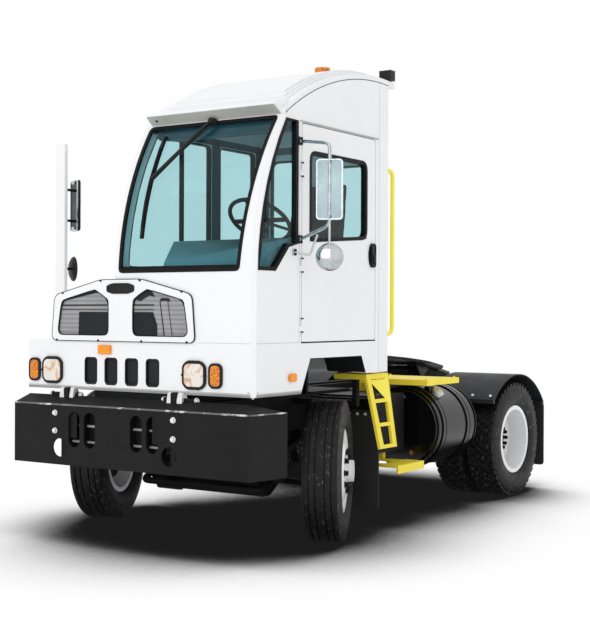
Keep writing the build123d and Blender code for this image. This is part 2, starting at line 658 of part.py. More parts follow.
# Lift boom: two arms, pivot tube, coupling tube and rod bar
ARM_X = 245
ARM_THICK = 40
arm_side = [(BOOM_PIVOT[0], BOOM_PIVOT[1] + 70), (-360, 1000), (-190, 1130), (-112, 1068), (-300, 880),
            (BOOM_PIVOT[0], BOOM_PIVOT[1] - 70)]
with BuildPart() as lift_boom:
    for s in (-1, 1):
        with BuildSketch(side(s * ARM_X)):
            with BuildLine():
                Polyline(*arm_side, close=True)
            make_face()
            with Locations(BOOM_PIVOT):
                Circle(75)
            with Locations(COUPLING_PIVOT):
                Circle(50)
        extrude(amount=ARM_THICK / 2, both=True)
    bar_across((-300, 300), *BOOM_PIVOT, 62)
    bar_across((-275, 275), *COUPLING_PIVOT, 50)
    bar_across((-ARM_X, ARM_X), *ROD_PIN, LIFT_PIN)
    bar_across((-300, 300), *BOOM_PIVOT, BOOM_SHAFT + SEAT_GAP, Mode.SUBTRACT)
    bar_across((-275, 275), *COUPLING_PIVOT, COUPLING_PIN + SEAT_GAP, Mode.SUBTRACT)
keep(lift_boom.part, "lift_boom")

# Fifth wheel: plate with a throat for the kingpin, pivot lugs and pin, tilted back
KINGPIN_SEAT = 27
plate_half = [(457, 160), (320, 330), (300, 620), (120, 620), (KINGPIN_SEAT, 60)]
with BuildPart() as fifth_wheel:
    with BuildSketch(level(PLATE_TOP - PLATE)):
        with BuildLine():
            ThreePointArc((-457, -100), (0, -460), (457, -100))
            Polyline((457, -100), *plate_half, (KINGPIN_SEAT, 0))
            ThreePointArc((KINGPIN_SEAT, 0), (0, -KINGPIN_SEAT), (-KINGPIN_SEAT, 0))
            Polyline((-KINGPIN_SEAT, 0), *[(-x, y) for x, y in reversed(plate_half)], (-457, -100))
        make_face()
    extrude(amount=PLATE)
    for s in (-1, 1):
        with BuildSketch(side(s * 285)):
            with BuildLine():
                Polyline((-150, PLATE_TOP - PLATE), (150, PLATE_TOP - PLATE), (42, -20), (-42, -20), close=True)
            make_face()
            Circle(46)
        extrude(amount=s * 40)
    bar_across((-325, 325), 0, 0, COUPLING_PIN)
coupling_place = Location((0, *COUPLING_PIVOT), (-COUPLING_TILT, 0, 0))
keep(fifth_wheel.part.moved(coupling_place), "fifth_wheel")

# Lift cylinders
lift_run = hypot(ROD_PIN[0] - BARREL_PIN[0], ROD_PIN[1] - BARREL_PIN[1])
lift_angle = degrees(atan2(ROD_PIN[1] - BARREL_PIN[1], ROD_PIN[0] - BARREL_PIN[0]))
lift_way = Vector(0, cos(radians(lift_angle)), sin(radians(lift_angle)))


def lift_plane(s, along):
    """Plane across a lift cylinder at a distance along it from its lower pin."""
    return Plane(Vector(s * LIFT_X, *BARREL_PIN) + lift_way * along, x_dir=(1, 0, 0), z_dir=lift_way)


with BuildPart() as lift_barrels:
    for s in (-1, 1):
        with BuildSketch(lift_plane(s, 60)):
            Circle(BARREL_RADIUS)
        extrude(amount=BARREL_LENGTH - 60)
        with BuildSketch(lift_plane(s, 0)):
            Rectangle(54, 60)
        extrude(amount=62)
        bar_across((s * LIFT_X - 27, s * LIFT_X + 27), *BARREL_PIN, 34)
        bar_across((s * LIFT_X - 27, s * LIFT_X + 27), *BARREL_PIN, BARREL_PIN_RADIUS + SEAT_GAP, Mode.SUBTRACT)
        with BuildSketch(lift_plane(s, 90)):
            Circle(ROD_RADIUS + SEAT_GAP)
        extrude(amount=BARREL_LENGTH, mode=Mode.SUBTRACT)
keep(lift_barrels.part, "lift_barrels")

with BuildPart() as lift_rods:
    for s in (-1, 1):
        with BuildSketch(lift_plane(s, 150)):
            Circle(ROD_RADIUS)
        extrude(amount=lift_run - 150 - ROD_EYE_HOLE - 9)
        bar_across((s * LIFT_X - 20, s * LIFT_X + 20), *ROD_PIN, ROD_EYE_HOLE + 18)
        bar_across((s * LIFT_X - 20, s * LIFT_X + 20), *ROD_PIN, ROD_EYE_HOLE, Mode.SUBTRACT)
keep(lift_rods.part, "lift_rods")


# Cab section: inside of the front wall's bend, below the roof
def under_roof():
    """Everything below the roof's underside, drawn in Y and Z."""
    with BuildSketch() as face:
        with BuildLine():
            ThreePointArc(ROOF_FRONT, ROOF_MIDDLE, ROOF_REAR)
            Polyline(ROOF_REAR, (ROOF_REAR[0], 900), (CAB_FRONT - 100, 900),
                     (CAB_FRONT - 100, ROOF_FRONT[1] - 240), ROOF_FRONT)
        make_face()
    return face.sketch_local


def behind_screen(inset, low):
    """Everything behind the front wall's bend, set in from its outside, from a height up."""
    radius = SCREEN_RADIUS - inset
    middle = (CAB_FRONT + SCREEN_RADIUS, SCREEN_BEND_Z)
    turn = radians(48)
    top = (middle[0] - radius * cos(turn), middle[1] + radius * sin(turn))
    with BuildSketch() as face:
        with BuildLine():
            Line((CAB_FRONT + inset, low), (CAB_FRONT + inset, SCREEN_BEND_Z))
            RadiusArc((CAB_FRONT + inset, SCREEN_BEND_Z), top, radius)
            Polyline(top, (top[0], 3700), (CAB_REAR, 3700), (CAB_REAR, low), (CAB_FRONT + inset, low))
        make_face()
    return face.sketch_local


def screen_y(z):
    """Y of the front wall's outside at a height."""
    return CAB_FRONT + SCREEN_RADIUS - sqrt(SCREEN_RADIUS ** 2 - (z - SCREEN_BEND_Z) ** 2)


def cab_section(plane, low):
    """Side outline of the cab between front wall, roof and rear."""
    with BuildSketch(plane) as face:
        add(behind_screen(WALL, low))
        add(under_roof(), mode=Mode.INTERSECT)
    return face.sketch


ARCH = [(-3443, PANEL_LOW - 10), (-3443, PANEL_LOW), (-3327, ARCH_Z), (-2633, ARCH_Z), (-2568, SKIRT_REAR_Z),
        (CAB_REAR + 200, SKIRT_REAR_Z), (CAB_REAR + 200, PANEL_LOW - 10)]
QUARTER = [(-3490, SEAM + 1504), (-3490, SEAM + 670), (-3600, SEAM + 645), (-3757, SEAM + 481),
           (-4050, SEAM + 481), (-4050, SEAM + 1504)]


def quarter_glass(plane, gap):
    """Front quarter window between the screen pillar and the door post."""
    with BuildSketch(plane) as face:
        add(behind_screen(WALL + gap, PANEL_LOW))
        add(under_roof(), mode=Mode.INTERSECT)
        with BuildLine():
            Polyline(*QUARTER, close=True)
        make_face(mode=Mode.INTERSECT)
        if gap:
            offset(amount=-gap)
    return face.sketch


inside_left = CAB_LEFT - WALL
inside_right = CAB_RIGHT + WALL
with BuildPart() as left_side:
    extrude(cab_section(side(inside_left), PANEL_LOW), amount=WALL)
    extrude(polygon(side(inside_left), ARCH), amount=WALL, mode=Mode.SUBTRACT)
    extrude(quarter_glass(side(inside_left), 0), amount=WALL, mode=Mode.SUBTRACT)
    extrude(rounded(side(inside_left), DOOR_Y, DOOR_Z, 20), amount=WALL, mode=Mode.SUBTRACT)
    for z in DOOR_HINGES:
        post(DOOR_AXIS_X, DOOR_Y[0], (z - 60, z - 22), HINGE_BARREL)
        block((CAB_LEFT - 5, DOOR_AXIS_X), (DOOR_Y[0] - 30, DOOR_Y[0] - 2), (z - 60, z - 22))
keep(left_side.part, "left_side")

RIGHT_PILLAR = 55
RIGHT_FRONT_REAR_Y = -2948
RIGHT_REAR_Y = (-2838, -2372)
RIGHT_WINDOW_Z = (SEAM + 514, SEAM + 1474)


def right_front_glass(plane, gap):
    """Front window of the right wall, which follows the screen's bend."""
    depth = RIGHT_FRONT_REAR_Y - CAB_FRONT
    with BuildSketch(plane) as face:
        add(behind_screen(WALL + RIGHT_PILLAR, SEAM))
        with Locations((CAB_FRONT + depth / 2, (RIGHT_WINDOW_Z[0] + RIGHT_WINDOW_Z[1]) / 2)):
            Rectangle(depth, RIGHT_WINDOW_Z[1] - RIGHT_WINDOW_Z[0], mode=Mode.INTERSECT)
        fillet(face.vertices(), 40)
        if gap:
            offset(amount=-gap)
    return face.sketch


with BuildPart() as right_wall:
    extrude(cab_section(side(CAB_RIGHT), FLOOR_LOW), amount=WALL)
    extrude(right_front_glass(side(CAB_RIGHT), 0), amount=WALL, mode=Mode.SUBTRACT)
    extrude(rounded(side(CAB_RIGHT), RIGHT_REAR_Y, RIGHT_WINDOW_Z, 40), amount=WALL, mode=Mode.SUBTRACT)
keep(right_wall.part, "right_wall")

REAR_WINDOW_X = (60, 370)
REAR_WINDOW_Z = (SEAM + 564, SEAM + 1414)
DOORWAY_X = (REAR_DOOR_X[0] + 20, REAR_DOOR_X[1] - 20)
DOORWAY_Z = (FLOOR_HIGH + 5, REAR_DOOR_Z[1] - 40)
RUNNER = 30
with BuildPart() as rear_wall:
    with BuildSketch(side(inside_right)):
        add(behind_screen(WALL, SKIRT_REAR_Z))
        add(under_roof(), mode=Mode.INTERSECT)
        with Locations((CAB_REAR - WALL / 2, SEAM + 854)):
            Rectangle(WALL, 2800, mode=Mode.INTERSECT)
    extrude(amount=inside_left - inside_right)
    extrude(rounded(front(CAB_REAR), REAR_WINDOW_X, REAR_WINDOW_Z, 60), amount=WALL, mode=Mode.SUBTRACT)
    extrude(rounded(front(CAB_REAR), DOORWAY_X, DOORWAY_Z, 40), amount=WALL, mode=Mode.SUBTRACT)
    runner_y = (CAB_REAR - 5, CAB_REAR + REAR_DOOR_GAP + REAR_DOOR_THICK + 4)
    for z in (REAR_DOOR_Z[0] - SEAT_GAP - RUNNER, REAR_DOOR_Z[1] + SEAT_GAP):
        block((inside_right, REAR_DOOR_X[1] + 10), runner_y, (z, z + RUNNER))
keep(rear_wall.part, "rear_wall")

with BuildPart() as cab_floor:
    block((inside_right, inside_left), (FIREWALL_Y + WALL, CAB_REAR - WALL), (FLOOR_LOW, FLOOR_HIGH))
    block((inside_right, inside_left), (FIREWALL_Y, FIREWALL_Y + WALL), (FLOOR_LOW, SHELF_TOP))
    block((inside_right, inside_left), (CAB_FRONT + WALL + SEAT_GAP, FIREWALL_Y), (SHELF_TOP - WALL, SHELF_TOP))
keep(cab_floor.part, "cab_floor")

def roof_band(plane, low, high, start, end):
    """Band along the roof's arc between two heights above it, between two Y limits."""
    with BuildSketch(plane) as face:
        with BuildLine():
            arc = [Vector(*q) for q in (ROOF_FRONT, ROOF_MIDDLE, ROOF_REAR)]
            bottom = [(q.X, q.Y + low) for q in arc]
            top = [(q.X, q.Y + high) for q in arc]
            ThreePointArc(*bottom)
            Line(bottom[2], top[2])
            ThreePointArc(*reversed(top))
            Line(top[0], bottom[0])
        make_face()
        with Locations(((start + end) / 2, ROOF_MIDDLE[1])):
            Rectangle(end - start, 2000, mode=Mode.INTERSECT)
    return face.sketch


# Roof sheet with a raised crown, a sloped brow over the screen and seats for the two lamps
BEACON = (600, -2350)
BEACON_Z = (SEAM + 2014, SEAM + 2098)
BEACON_RADIUS = 60
WORK_LAMP_X = (CAB_LEFT - 85, CAB_LEFT + 15)
WORK_LAMP_Y = (CAB_REAR + 5, CAB_REAR + 75)
WORK_LAMP_Z = (SEAM + 1972, SEAM + 2050)
BROW_RISE = 70
brow_tip = (ROOF_FRONT[0] - BROW, ROOF_FRONT[1] + BROW_RISE)
brow = [ROOF_FRONT, (brow_tip[0], brow_tip[1] - BROW_LIP), brow_tip, (ROOF_FRONT[0] + BROW_RISE, brow_tip[1] + 40),
        (ROOF_FRONT[0] + BROW_RISE, brow_tip[1])]
with BuildPart() as cab_roof:
    sheet = roof_band(side(CAB_RIGHT), 0, ROOF_THICK, ROOF_FRONT[0] - 1, ROOF_REAR[0] + 1)
    extrude(sheet, amount=CAB_LEFT - CAB_RIGHT)
    for i, inset in enumerate((0, CROWN_INSET / 2, CROWN_INSET)):
        x0, x1 = CAB_RIGHT + CROWN_INSET + inset, CAB_LEFT - CROWN_INSET - inset
        high = ROOF_THICK + CROWN_RISE * (i + 1) / 3
        band = roof_band(side(x0), ROOF_THICK - 2, high, ROOF_FRONT[0] + 60 * (i + 1), CAB_REAR - 60 * i)
        extrude(band, amount=x1 - x0)
    extrude(polygon(side(CAB_RIGHT + 50), brow), amount=CAB_LEFT - CAB_RIGHT - 70)
    post(*BEACON, (ROOF_REAR[1] + ROOF_THICK - 20, BEACON_Z[0]), BEACON_RADIUS + 8)
    block((CAB_LEFT - 75, CAB_LEFT - 15), (WORK_LAMP_Y[0] + 10, WORK_LAMP_Y[1] - 10),
          (ROOF_REAR[1] + 10, WORK_LAMP_Z[0]))
keep(cab_roof.part, "cab_roof")


# Front: grille outline, wall with screen pillars, lower panel with lamp openings
def grille_outline(plane, grow):
    """Outline of the grille surround, grown all round."""
    half = [(GRILLE_FOOT, SEAM), HOOD_SHOULDER, HOOD_CROWN]
    with BuildSketch(plane) as face:
        with BuildLine():
            Polyline(*half, *[(-x, z) for x, z in reversed(half)], close=True)
        make_face()
        fillet(face.vertices(), 40)
        if grow:
            offset(amount=grow, kind=Kind.INTERSECTION)
    return face.sketch


def screen_outline(plane, gap):
    """Windscreen's outline from the front, wider at its top, drawn in by a gap."""
    with BuildSketch(plane) as face:
        with BuildLine():
            Polyline((SCREEN_LOW_X[0], SCREEN_Z[0]), (SCREEN_LOW_X[1], SCREEN_Z[0]),
                     (SCREEN_HIGH_X[1], SCREEN_Z[1]), (SCREEN_HIGH_X[0], SCREEN_Z[1]), close=True)
        make_face()
        fillet(face.vertices(), SCREEN_CORNER)
        if gap:
            offset(amount=-gap)
    return face.sketch


CORNER = 26
SCREEN_DEPTH = 800
screen_plane = front(CAB_FRONT + SCREEN_DEPTH - 100)
with BuildPart() as front_wall:
    with BuildSketch(side(CAB_RIGHT)):
        add(behind_screen(0, SEAM))
        add(behind_screen(WALL, SEAM), mode=Mode.SUBTRACT)
    extrude(amount=CAB_LEFT - CAB_RIGHT)
    end_edges = front_wall.faces().sort_by(Axis.X)[-1].edges()
    bend = [e for e in end_edges.filter_by(GeomType.CIRCLE) if e.radius > SCREEN_RADIUS - 1]
    chamfer(bend + [end_edges.filter_by(Axis.Z).sort_by(Axis.Y)[0]], CORNER)
    with BuildSketch(side(CAB_RIGHT)):
        add(under_roof())
    extrude(amount=CAB_LEFT - CAB_RIGHT, mode=Mode.INTERSECT)
    extrude(screen_outline(screen_plane, 0), amount=SCREEN_DEPTH, mode=Mode.SUBTRACT)
    extrude(grille_outline(front(CAB_FRONT + 96), SEAT_GAP), amount=150, mode=Mode.SUBTRACT)
keep(front_wall.part, "front_wall")

# Lamp openings: x of the right one, width, height
headlamp_size = (190, 176)
signal_size = (104, 160)
slot_size = (118, 188)
lamp_rows = [
    ((-647, 647), headlamp_size, 50),
    ((-824, 824), signal_size, 48),
    ((-282, -94, 94, 282), slot_size, 30),
]
with BuildPart() as front_panel:
    block((FENDER_RIGHT, CAB_LEFT), (CAB_FRONT, CAB_FRONT + WALL), (PANEL_LOW, SEAM))
    corner = front_panel.edges().filter_by(Axis.Z).group_by(Axis.X)[-1].sort_by(Axis.Y)[0]
    chamfer(corner, CORNER)
    with BuildSketch(front(CAB_FRONT)):
        for places, size, radius in lamp_rows:
            with Locations(*[(x, LAMP_Z) for x in places]):
                RectangleRounded(*size, radius)
    extrude(amount=-WALL, mode=Mode.SUBTRACT)
    for s in (-1, 1):
        hinge_x = (s * (HINGE_X - 20), s * (HINGE_X + 20))
        block(hinge_x, (HINGE_Y - 22, HINGE_Y + 4), (HINGE_Z, PANEL_LOW))
        bar_across(hinge_x, HINGE_Y, HINGE_Z, 24)
        bar_across(hinge_x, HINGE_Y, HINGE_Z, HINGE_PIN + SEAT_GAP, Mode.SUBTRACT)
keep(front_panel.part, "front_panel")

grille_points = [(109, SEAM + 37), (600, SEAM + 37), (560, SEAM + 285), (236, SEAM + 362), (109, SEAM + 289)]


def grille_opening(plane, s, gap):
    """Opening in the grille on the side s, drawn in by a gap."""
    with BuildSketch(plane) as face:
        with BuildLine():
            Polyline(*[(s * x, z) for x, z in grille_points], close=True)
        make_face()
        fillet(face.vertices(), 40)
        if gap:
            offset(amount=-gap)
    return face.sketch


with BuildPart() as grille_surround:
    extrude(grille_outline(front(CAB_FRONT - GRILLE_PROUD), 0), amount=-(WALL + GRILLE_PROUD))
    for s in (-1, 1):
        extrude(grille_opening(front(CAB_FRONT - GRILLE_PROUD), s, 0), amount=-(WALL + GRILLE_PROUD),
                mode=Mode.SUBTRACT)
keep(grille_surround.part, "grille_surround")

with BuildPart() as grille_mesh:
    for s in (-1, 1):
        extrude(grille_opening(front(CAB_FRONT + 24), s, SEAT_GAP), amount=-6)
    with BuildSketch(front(CAB_FRONT + 18)):
        with Locations(*[(x, LAMP_Z) for x in lamp_rows[2][0]]):
            RectangleRounded(slot_size[0] - 2 * SEAT_GAP, slot_size[1] - 2 * SEAT_GAP, 30)
    extrude(amount=-(WALL - 20))
keep(grille_mesh.part, "grille_mesh")

with BuildPart() as headlamps:
    with BuildSketch(front(CAB_FRONT - 12)):
        with Locations(*[(x, LAMP_Z) for x in lamp_rows[0][0]]):
            RectangleRounded(headlamp_size[0] - 2 * SEAT_GAP, headlamp_size[1] - 2 * SEAT_GAP, 50)
    extrude(amount=-WALL)
keep(headlamps.part, "headlamps")

with BuildPart() as amber_lamps:
    with BuildSketch(front(CAB_FRONT - 10)):
        with Locations(*[(x, LAMP_Z) for x in lamp_rows[1][0]]):
            RectangleRounded(signal_size[0] - 2 * SEAT_GAP, signal_size[1] - 2 * SEAT_GAP, 48)
    extrude(amount=-WALL)
    block((-185, -110), (CAB_FRONT - 14, CAB_FRONT), (SEAM - 83, SEAM - 38))
    block((CAB_LEFT, CAB_LEFT + 14), (-3590, -3526), (PANEL_LOW + 94, PANEL_LOW + 130))
    post(*BEACON, BEACON_Z, BEACON_RADIUS)
keep(amber_lamps.part, "amber_lamps")

with BuildPart() as work_lamp:
    block(WORK_LAMP_X, WORK_LAMP_Y, WORK_LAMP_Z)
keep(work_lamp.part, "work_lamp")

# Engine hood with the right fender
hood_outside = [(FENDER_RIGHT, PANEL_LOW), (FENDER_RIGHT, SEAM), (-GRILLE_FOOT, SEAM),
                (-HOOD_SHOULDER[0], HOOD_SHOULDER[1]), (-HOOD_CROWN[0], HOOD_CROWN[1]), (CAB_RIGHT, HOOD_CROWN[1])]
hood_inside = [(CAB_RIGHT, HOOD_CROWN[1] - HOOD_WALL), (-HOOD_CROWN[0] - 4, HOOD_CROWN[1] - HOOD_WALL),
               (-HOOD_SHOULDER[0] + HOOD_WALL, HOOD_SHOULDER[1] - 24),
               (-GRILLE_FOOT + HOOD_WALL, SEAM - HOOD_WALL), (FENDER_RIGHT + HOOD_WALL, SEAM - HOOD_WALL),
               (FENDER_RIGHT + HOOD_WALL, PANEL_LOW)]
with BuildPart() as engine_hood:
    extrude(polygon(front(CAB_FRONT + WALL), hood_outside + hood_inside), amount=CAB_FRONT + WALL - HOOD_REAR)
    extrude(polygon(side(FENDER_RIGHT - 10), ARCH), amount=HOOD_WALL + 20, mode=Mode.SUBTRACT)
    rear_plate = [p for p in hood_outside[2:]] + [(CAB_RIGHT, SKIRT_REAR_Z), (-GRILLE_FOOT, SKIRT_REAR_Z)]
    extrude(polygon(front(HOOD_REAR - HOOD_WALL), rear_plate), amount=-HOOD_WALL)
keep(engine_hood.part, "engine_hood")

# Glass
with BuildPart() as windscreen:
    with BuildSketch(side(CAB_RIGHT)):
        add(behind_screen(12, SEAM))
        add(behind_screen(12 + GLASS, SEAM), mode=Mode.SUBTRACT)
    extrude(amount=CAB_LEFT - CAB_RIGHT)
    extrude(screen_outline(screen_plane, SEAT_GAP), amount=SCREEN_DEPTH, mode=Mode.INTERSECT)
keep(windscreen.part, "windscreen")


def shrunk(limits):
    """Limits drawn in by the seat's gap at both ends."""
    return (limits[0] + SEAT_GAP, limits[1] - SEAT_GAP)


with BuildPart() as cab_glass:
    extrude(quarter_glass(side(CAB_LEFT - 24), SEAT_GAP), amount=GLASS)
    extrude(right_front_glass(side(CAB_RIGHT + 16), SEAT_GAP), amount=GLASS)
    extrude(rounded(side(CAB_RIGHT + 16), shrunk(RIGHT_REAR_Y), shrunk(RIGHT_WINDOW_Z), 40), amount=GLASS)
    extrude(rounded(front(CAB_REAR - 16), shrunk(REAR_WINDOW_X), shrunk(REAR_WINDOW_Z), 60), amount=GLASS)
keep(cab_glass.part, "cab_glass")

# Side door with hinge barrels, its glass and handle
door_y = (DOOR_Y[0] + DOOR_GAP, DOOR_Y[1] - DOOR_GAP)
door_z = (DOOR_Z[0] + DOOR_GAP, DOOR_Z[1] - DOOR_GAP)
HANDLE = (-2489, SEAM + 629)


def door_window(plane, gap):
    """Window of the side door, whose sill rises to the rear, drawn in by a gap."""
    with BuildSketch(plane) as face:
        with BuildLine():
            Polyline((DOOR_GLASS_Y[0], DOOR_GLASS_Z[0]), (DOOR_GLASS_Y[1], DOOR_GLASS_Z[0] + DOOR_SILL_RISE),
                     (DOOR_GLASS_Y[1], DOOR_GLASS_Z[1]), (DOOR_GLASS_Y[0], DOOR_GLASS_Z[1]), close=True)
        make_face()
        fillet(face.vertices().group_by(Axis.Y)[-1], 65)
        if gap:
            offset(amount=-gap)
    return face.sketch


with BuildPart() as side_door:
    extrude(rounded(side(CAB_LEFT - DOOR_THICK), door_y, door_z, 16), amount=DOOR_THICK)
    extrude(door_window(side(CAB_LEFT - DOOR_THICK), 0), amount=DOOR_THICK, mode=Mode.SUBTRACT)
    for z in DOOR_HINGES:
        post(DOOR_AXIS_X, DOOR_Y[0], (z - 22 + SEAT_GAP, z + 22), HINGE_BARREL)
        block((CAB_LEFT - 3, DOOR_AXIS_X), (DOOR_Y[0] + 2, door_y[0] + 26), (z - 22 + SEAT_GAP, z + 22))
keep(side_door.part, "side_door")

with BuildPart() as side_door_glass:
    extrude(door_window(side(CAB_LEFT - 24), SEAT_GAP), amount=GLASS)
keep(side_door_glass.part, "side_door_glass")

with BuildPart() as door_handle:
    with BuildSketch(side(CAB_LEFT)):
        with Locations(HANDLE):
            SlotOverall(180, 60, rotation=90)
    extrude(amount=18)
keep(door_handle.part, "door_handle")

# Sliding rear door between its runners, and its glass
REAR_GLASS_X = (REAR_DOOR_X[0] + 90, REAR_DOOR_X[1] - 90)
REAR_GLASS_Z = (SEAM + 564, SEAM + 1344)
rear_door_face = CAB_REAR + REAR_DOOR_GAP
with BuildPart() as rear_door:
    extrude(rounded(front(rear_door_face), REAR_DOOR_X, REAR_DOOR_Z, 16), amount=-REAR_DOOR_THICK)
    extrude(rounded(front(rear_door_face), REAR_GLASS_X, REAR_GLASS_Z, 60), amount=-REAR_DOOR_THICK,
            mode=Mode.SUBTRACT)
    block((REAR_DOOR_X[1] - 60, REAR_DOOR_X[1] - 35), (rear_door_face + 20, rear_door_face + 62),
          (SEAM + 514, SEAM + 674))
keep(rear_door.part, "rear_door")

with BuildPart() as rear_door_glass:
    extrude(rounded(front(rear_door_face + 10), shrunk(REAR_GLASS_X), shrunk(REAR_GLASS_Z), 60), amount=-GLASS)
keep(rear_door_glass.part, "rear_door_glass")

# Mirrors: bent tube on the door post, post on the right fender, heads and round mirrors
MIRROR_Y = -3520
MIRROR_X = 1400
POST_X = (-846, -752)
POST_Y = (-3780, -3740)
POST_TOP = SEAM + 1445
HEAD = (178, 45)
ROUND_MIRROR = 95


def mirror_head(x, y, z, turn):
    """Upright mirror head, turned about Z."""
    with Locations(Location((x, y, (z[0] + z[1]) / 2), (0, 0, turn))):
        Box(*HEAD, z[1] - z[0])


def round_mirror(x, y, z, turn):
    """Round mirror facing back, turned about Z."""
    with Locations(Location((x, y, z), (90, 0, turn))):
        Cone(ROUND_MIRROR, ROUND_MIRROR * 0.6, 40)


MIRROR_HIGH = SEAM + 1330
MIRROR_LOW = SEAM + 724
BRACKETS = (SEAM + 1366, SEAM + 700)
BRACE_FOOT = SEAM + 610
with BuildPart() as mirrors:
    add(tube([(CAB_LEFT + 8, -3468, BRACKETS[0]), (MIRROR_X, MIRROR_Y, MIRROR_HIGH),
              (MIRROR_X, MIRROR_Y, MIRROR_LOW + 60), (CAB_LEFT + 8, -3468, BRACKETS[1])], 12, 45))
    for z in BRACKETS:
        block((CAB_LEFT, CAB_LEFT + 14), (-3486, -3450), (z - 30, z + 30))
    add(tube([(CAB_LEFT + 8, -3540, BRACE_FOOT), (CAB_LEFT + 110, -3505, BRACE_FOOT - 20),
              (CAB_LEFT + 160, -3493, MIRROR_LOW + 4)], 8, 20))
    block((CAB_LEFT, CAB_LEFT + 14), (-3556, -3524), (BRACE_FOOT - 22, BRACE_FOOT + 22))
    mirror_head(MIRROR_X, MIRROR_Y, (MIRROR_HIGH - 510, MIRROR_HIGH - 107), 25)
    round_mirror(MIRROR_X, MIRROR_Y, MIRROR_LOW - 150, 25)
    block((MIRROR_X - 8, MIRROR_X + 8), (MIRROR_Y - 8, MIRROR_Y + 8), (MIRROR_LOW - 160, MIRROR_LOW + 70))
    block(POST_X, POST_Y, (SEAM, POST_TOP))
    post_middle = (POST_X[0] + POST_X[1]) / 2
    mirror_head(post_middle - 10, POST_Y[1] + 130, (POST_TOP - 634, POST_TOP - 254), -30)
    round_mirror(post_middle - 10, POST_Y[1] + 100, POST_TOP - 921, -30)
    for z in (POST_TOP - 561, POST_TOP - 331, POST_TOP - 921):
        block((post_middle - 8, post_middle + 8), (POST_Y[1], POST_Y[1] + 120), (z - 8, z + 8))
keep(mirrors.part, "mirrors")

# Wiper on the bent screen
WIPER_PIVOT = (552, SEAM + 1523)
WIPER_Y = screen_y(WIPER_PIVOT[1]) - 26
ARM_TIP_Z = SEAM + 1120
BLADE_X = 165
BLADE_Z = (SEAM + 706, SEAM + 1439)
with BuildPart() as wiper:
    with BuildSketch(side(BLADE_X - 10)):
        add(behind_screen(-12, SEAM))
        add(behind_screen(12 - SEAT_GAP, SEAM), mode=Mode.SUBTRACT)
        with Locations((CAB_FRONT + 196, (BLADE_Z[0] + BLADE_Z[1]) / 2)):
            Rectangle(600, BLADE_Z[1] - BLADE_Z[0], mode=Mode.INTERSECT)
    extrude(amount=20)
    arm_foot = Vector(WIPER_PIVOT[0], WIPER_Y - 11, WIPER_PIVOT[1])
    arm_tip = Vector(BLADE_X, screen_y(ARM_TIP_Z) - 18, ARM_TIP_Z)
    with BuildSketch(Plane(arm_foot, x_dir=(1, 0, 0), z_dir=arm_tip - arm_foot)):
        Rectangle(22, 14)
    extrude(amount=(arm_tip - arm_foot).length)
    with Locations(Location((WIPER_PIVOT[0], WIPER_Y, WIPER_PIVOT[1]), (90, 0, 0))):
        Cylinder(20, 40)
keep(wiper.part, "wiper")

# Driver's seat
SEAT_X = (320, 820)
seat_rises = [(-2960, 335), (-2960, 415), (-2500, 455), (-2390, 1045), (-2330, 1225), (-2300, 1205), (-2310, 965),
              (-2390, 345)]
seat_side = [(y, FLOOR_HIGH + rise) for y, rise in seat_rises]
with BuildPart() as driver_seat:
    extrude(polygon(side(SEAT_X[0]), seat_side), amount=SEAT_X[1] - SEAT_X[0])
    block((SEAT_X[0] + 90, SEAT_X[1] - 90), (-2840, -2480), (FLOOR_HIGH, FLOOR_HIGH + 355))
keep(driver_seat.part, "driver_seat")

# Dashboard with the steering column and wheel
dash_side = [(-3925, SHELF_TOP), (-3660, SHELF_TOP), (-3600, SHELF_TOP - 150), (-3500, SHELF_TOP - 150),
             (-3450, SHELF_TOP + 150), (-3462, SHELF_TOP + 272), (-3880, SHELF_TOP + 98), (-3925, SHELF_TOP + 60)]
DASH_X = (CAB_RIGHT + 75, CAB_LEFT - 69)
dash_corner = [(-200, -4000), (359, -4000), (25, -3450), (-200, -3450)]
WHEEL_MIDDLE = Vector(680, -3300, SHELF_TOP + 410)
WHEEL_RADIUS = 225
column = Vector(0, -0.6, -0.8)
with BuildPart() as dashboard:
    extrude(polygon(side(DASH_X[0]), dash_side), amount=DASH_X[1] - DASH_X[0])
    extrude(polygon(level(SHELF_TOP - 300), dash_corner), amount=700, mode=Mode.SUBTRACT)
    with BuildSketch(Plane(WHEEL_MIDDLE, x_dir=(1, 0, 0), z_dir=column)):
        Circle(34)
    extrude(amount=330)
    wheel_plane = Plane(WHEEL_MIDDLE, x_dir=(1, 0, 0), z_dir=-column)
    with Locations(wheel_plane.location):
        Torus(WHEEL_RADIUS, 15)
        Cylinder(50, 36)
        Box(2 * WHEEL_RADIUS, 36, 12)
keep(dashboard.part, "dashboard")

# Grab handle behind the cab's left rear corner
GRAB_X = CAB_LEFT - WALL / 2
with BuildPart() as grab_handle:
    add(tube([(GRAB_X, CAB_REAR, SEAM + 1289), (GRAB_X, CAB_REAR + 104, SEAM + 1289),
              (GRAB_X, CAB_REAR + 104, SEAM + 46), (GRAB_X, CAB_REAR, SEAM + 46)], 16, 50))
keep(grab_handle.part, "grab_handle")

# Move every piece so that the origin is below the middle of the tractor, and write it
whole = Compound(children=[Compound(p.solids()) for p in pieces]).bounding_box()
to_middle = Location((-whole.center().X, -whole.center().Y, -whole.min.Z))
print("moved by", tuple(round(v, 3) for v in to_middle.position), "size", whole.size)
os.makedirs("parts", exist_ok=True)
for piece in pieces:
    placed = piece.moved(to_middle)
    placed.label = piece.label
    export_step(placed, f"parts/{piece.label}.step")
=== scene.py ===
import logging
import math
from dataclasses import dataclass, field
from enum import Enum
from typing import Callable, Mapping, Optional, Sequence, Union

import bmesh
import bpy
from mathutils import Matrix, Vector


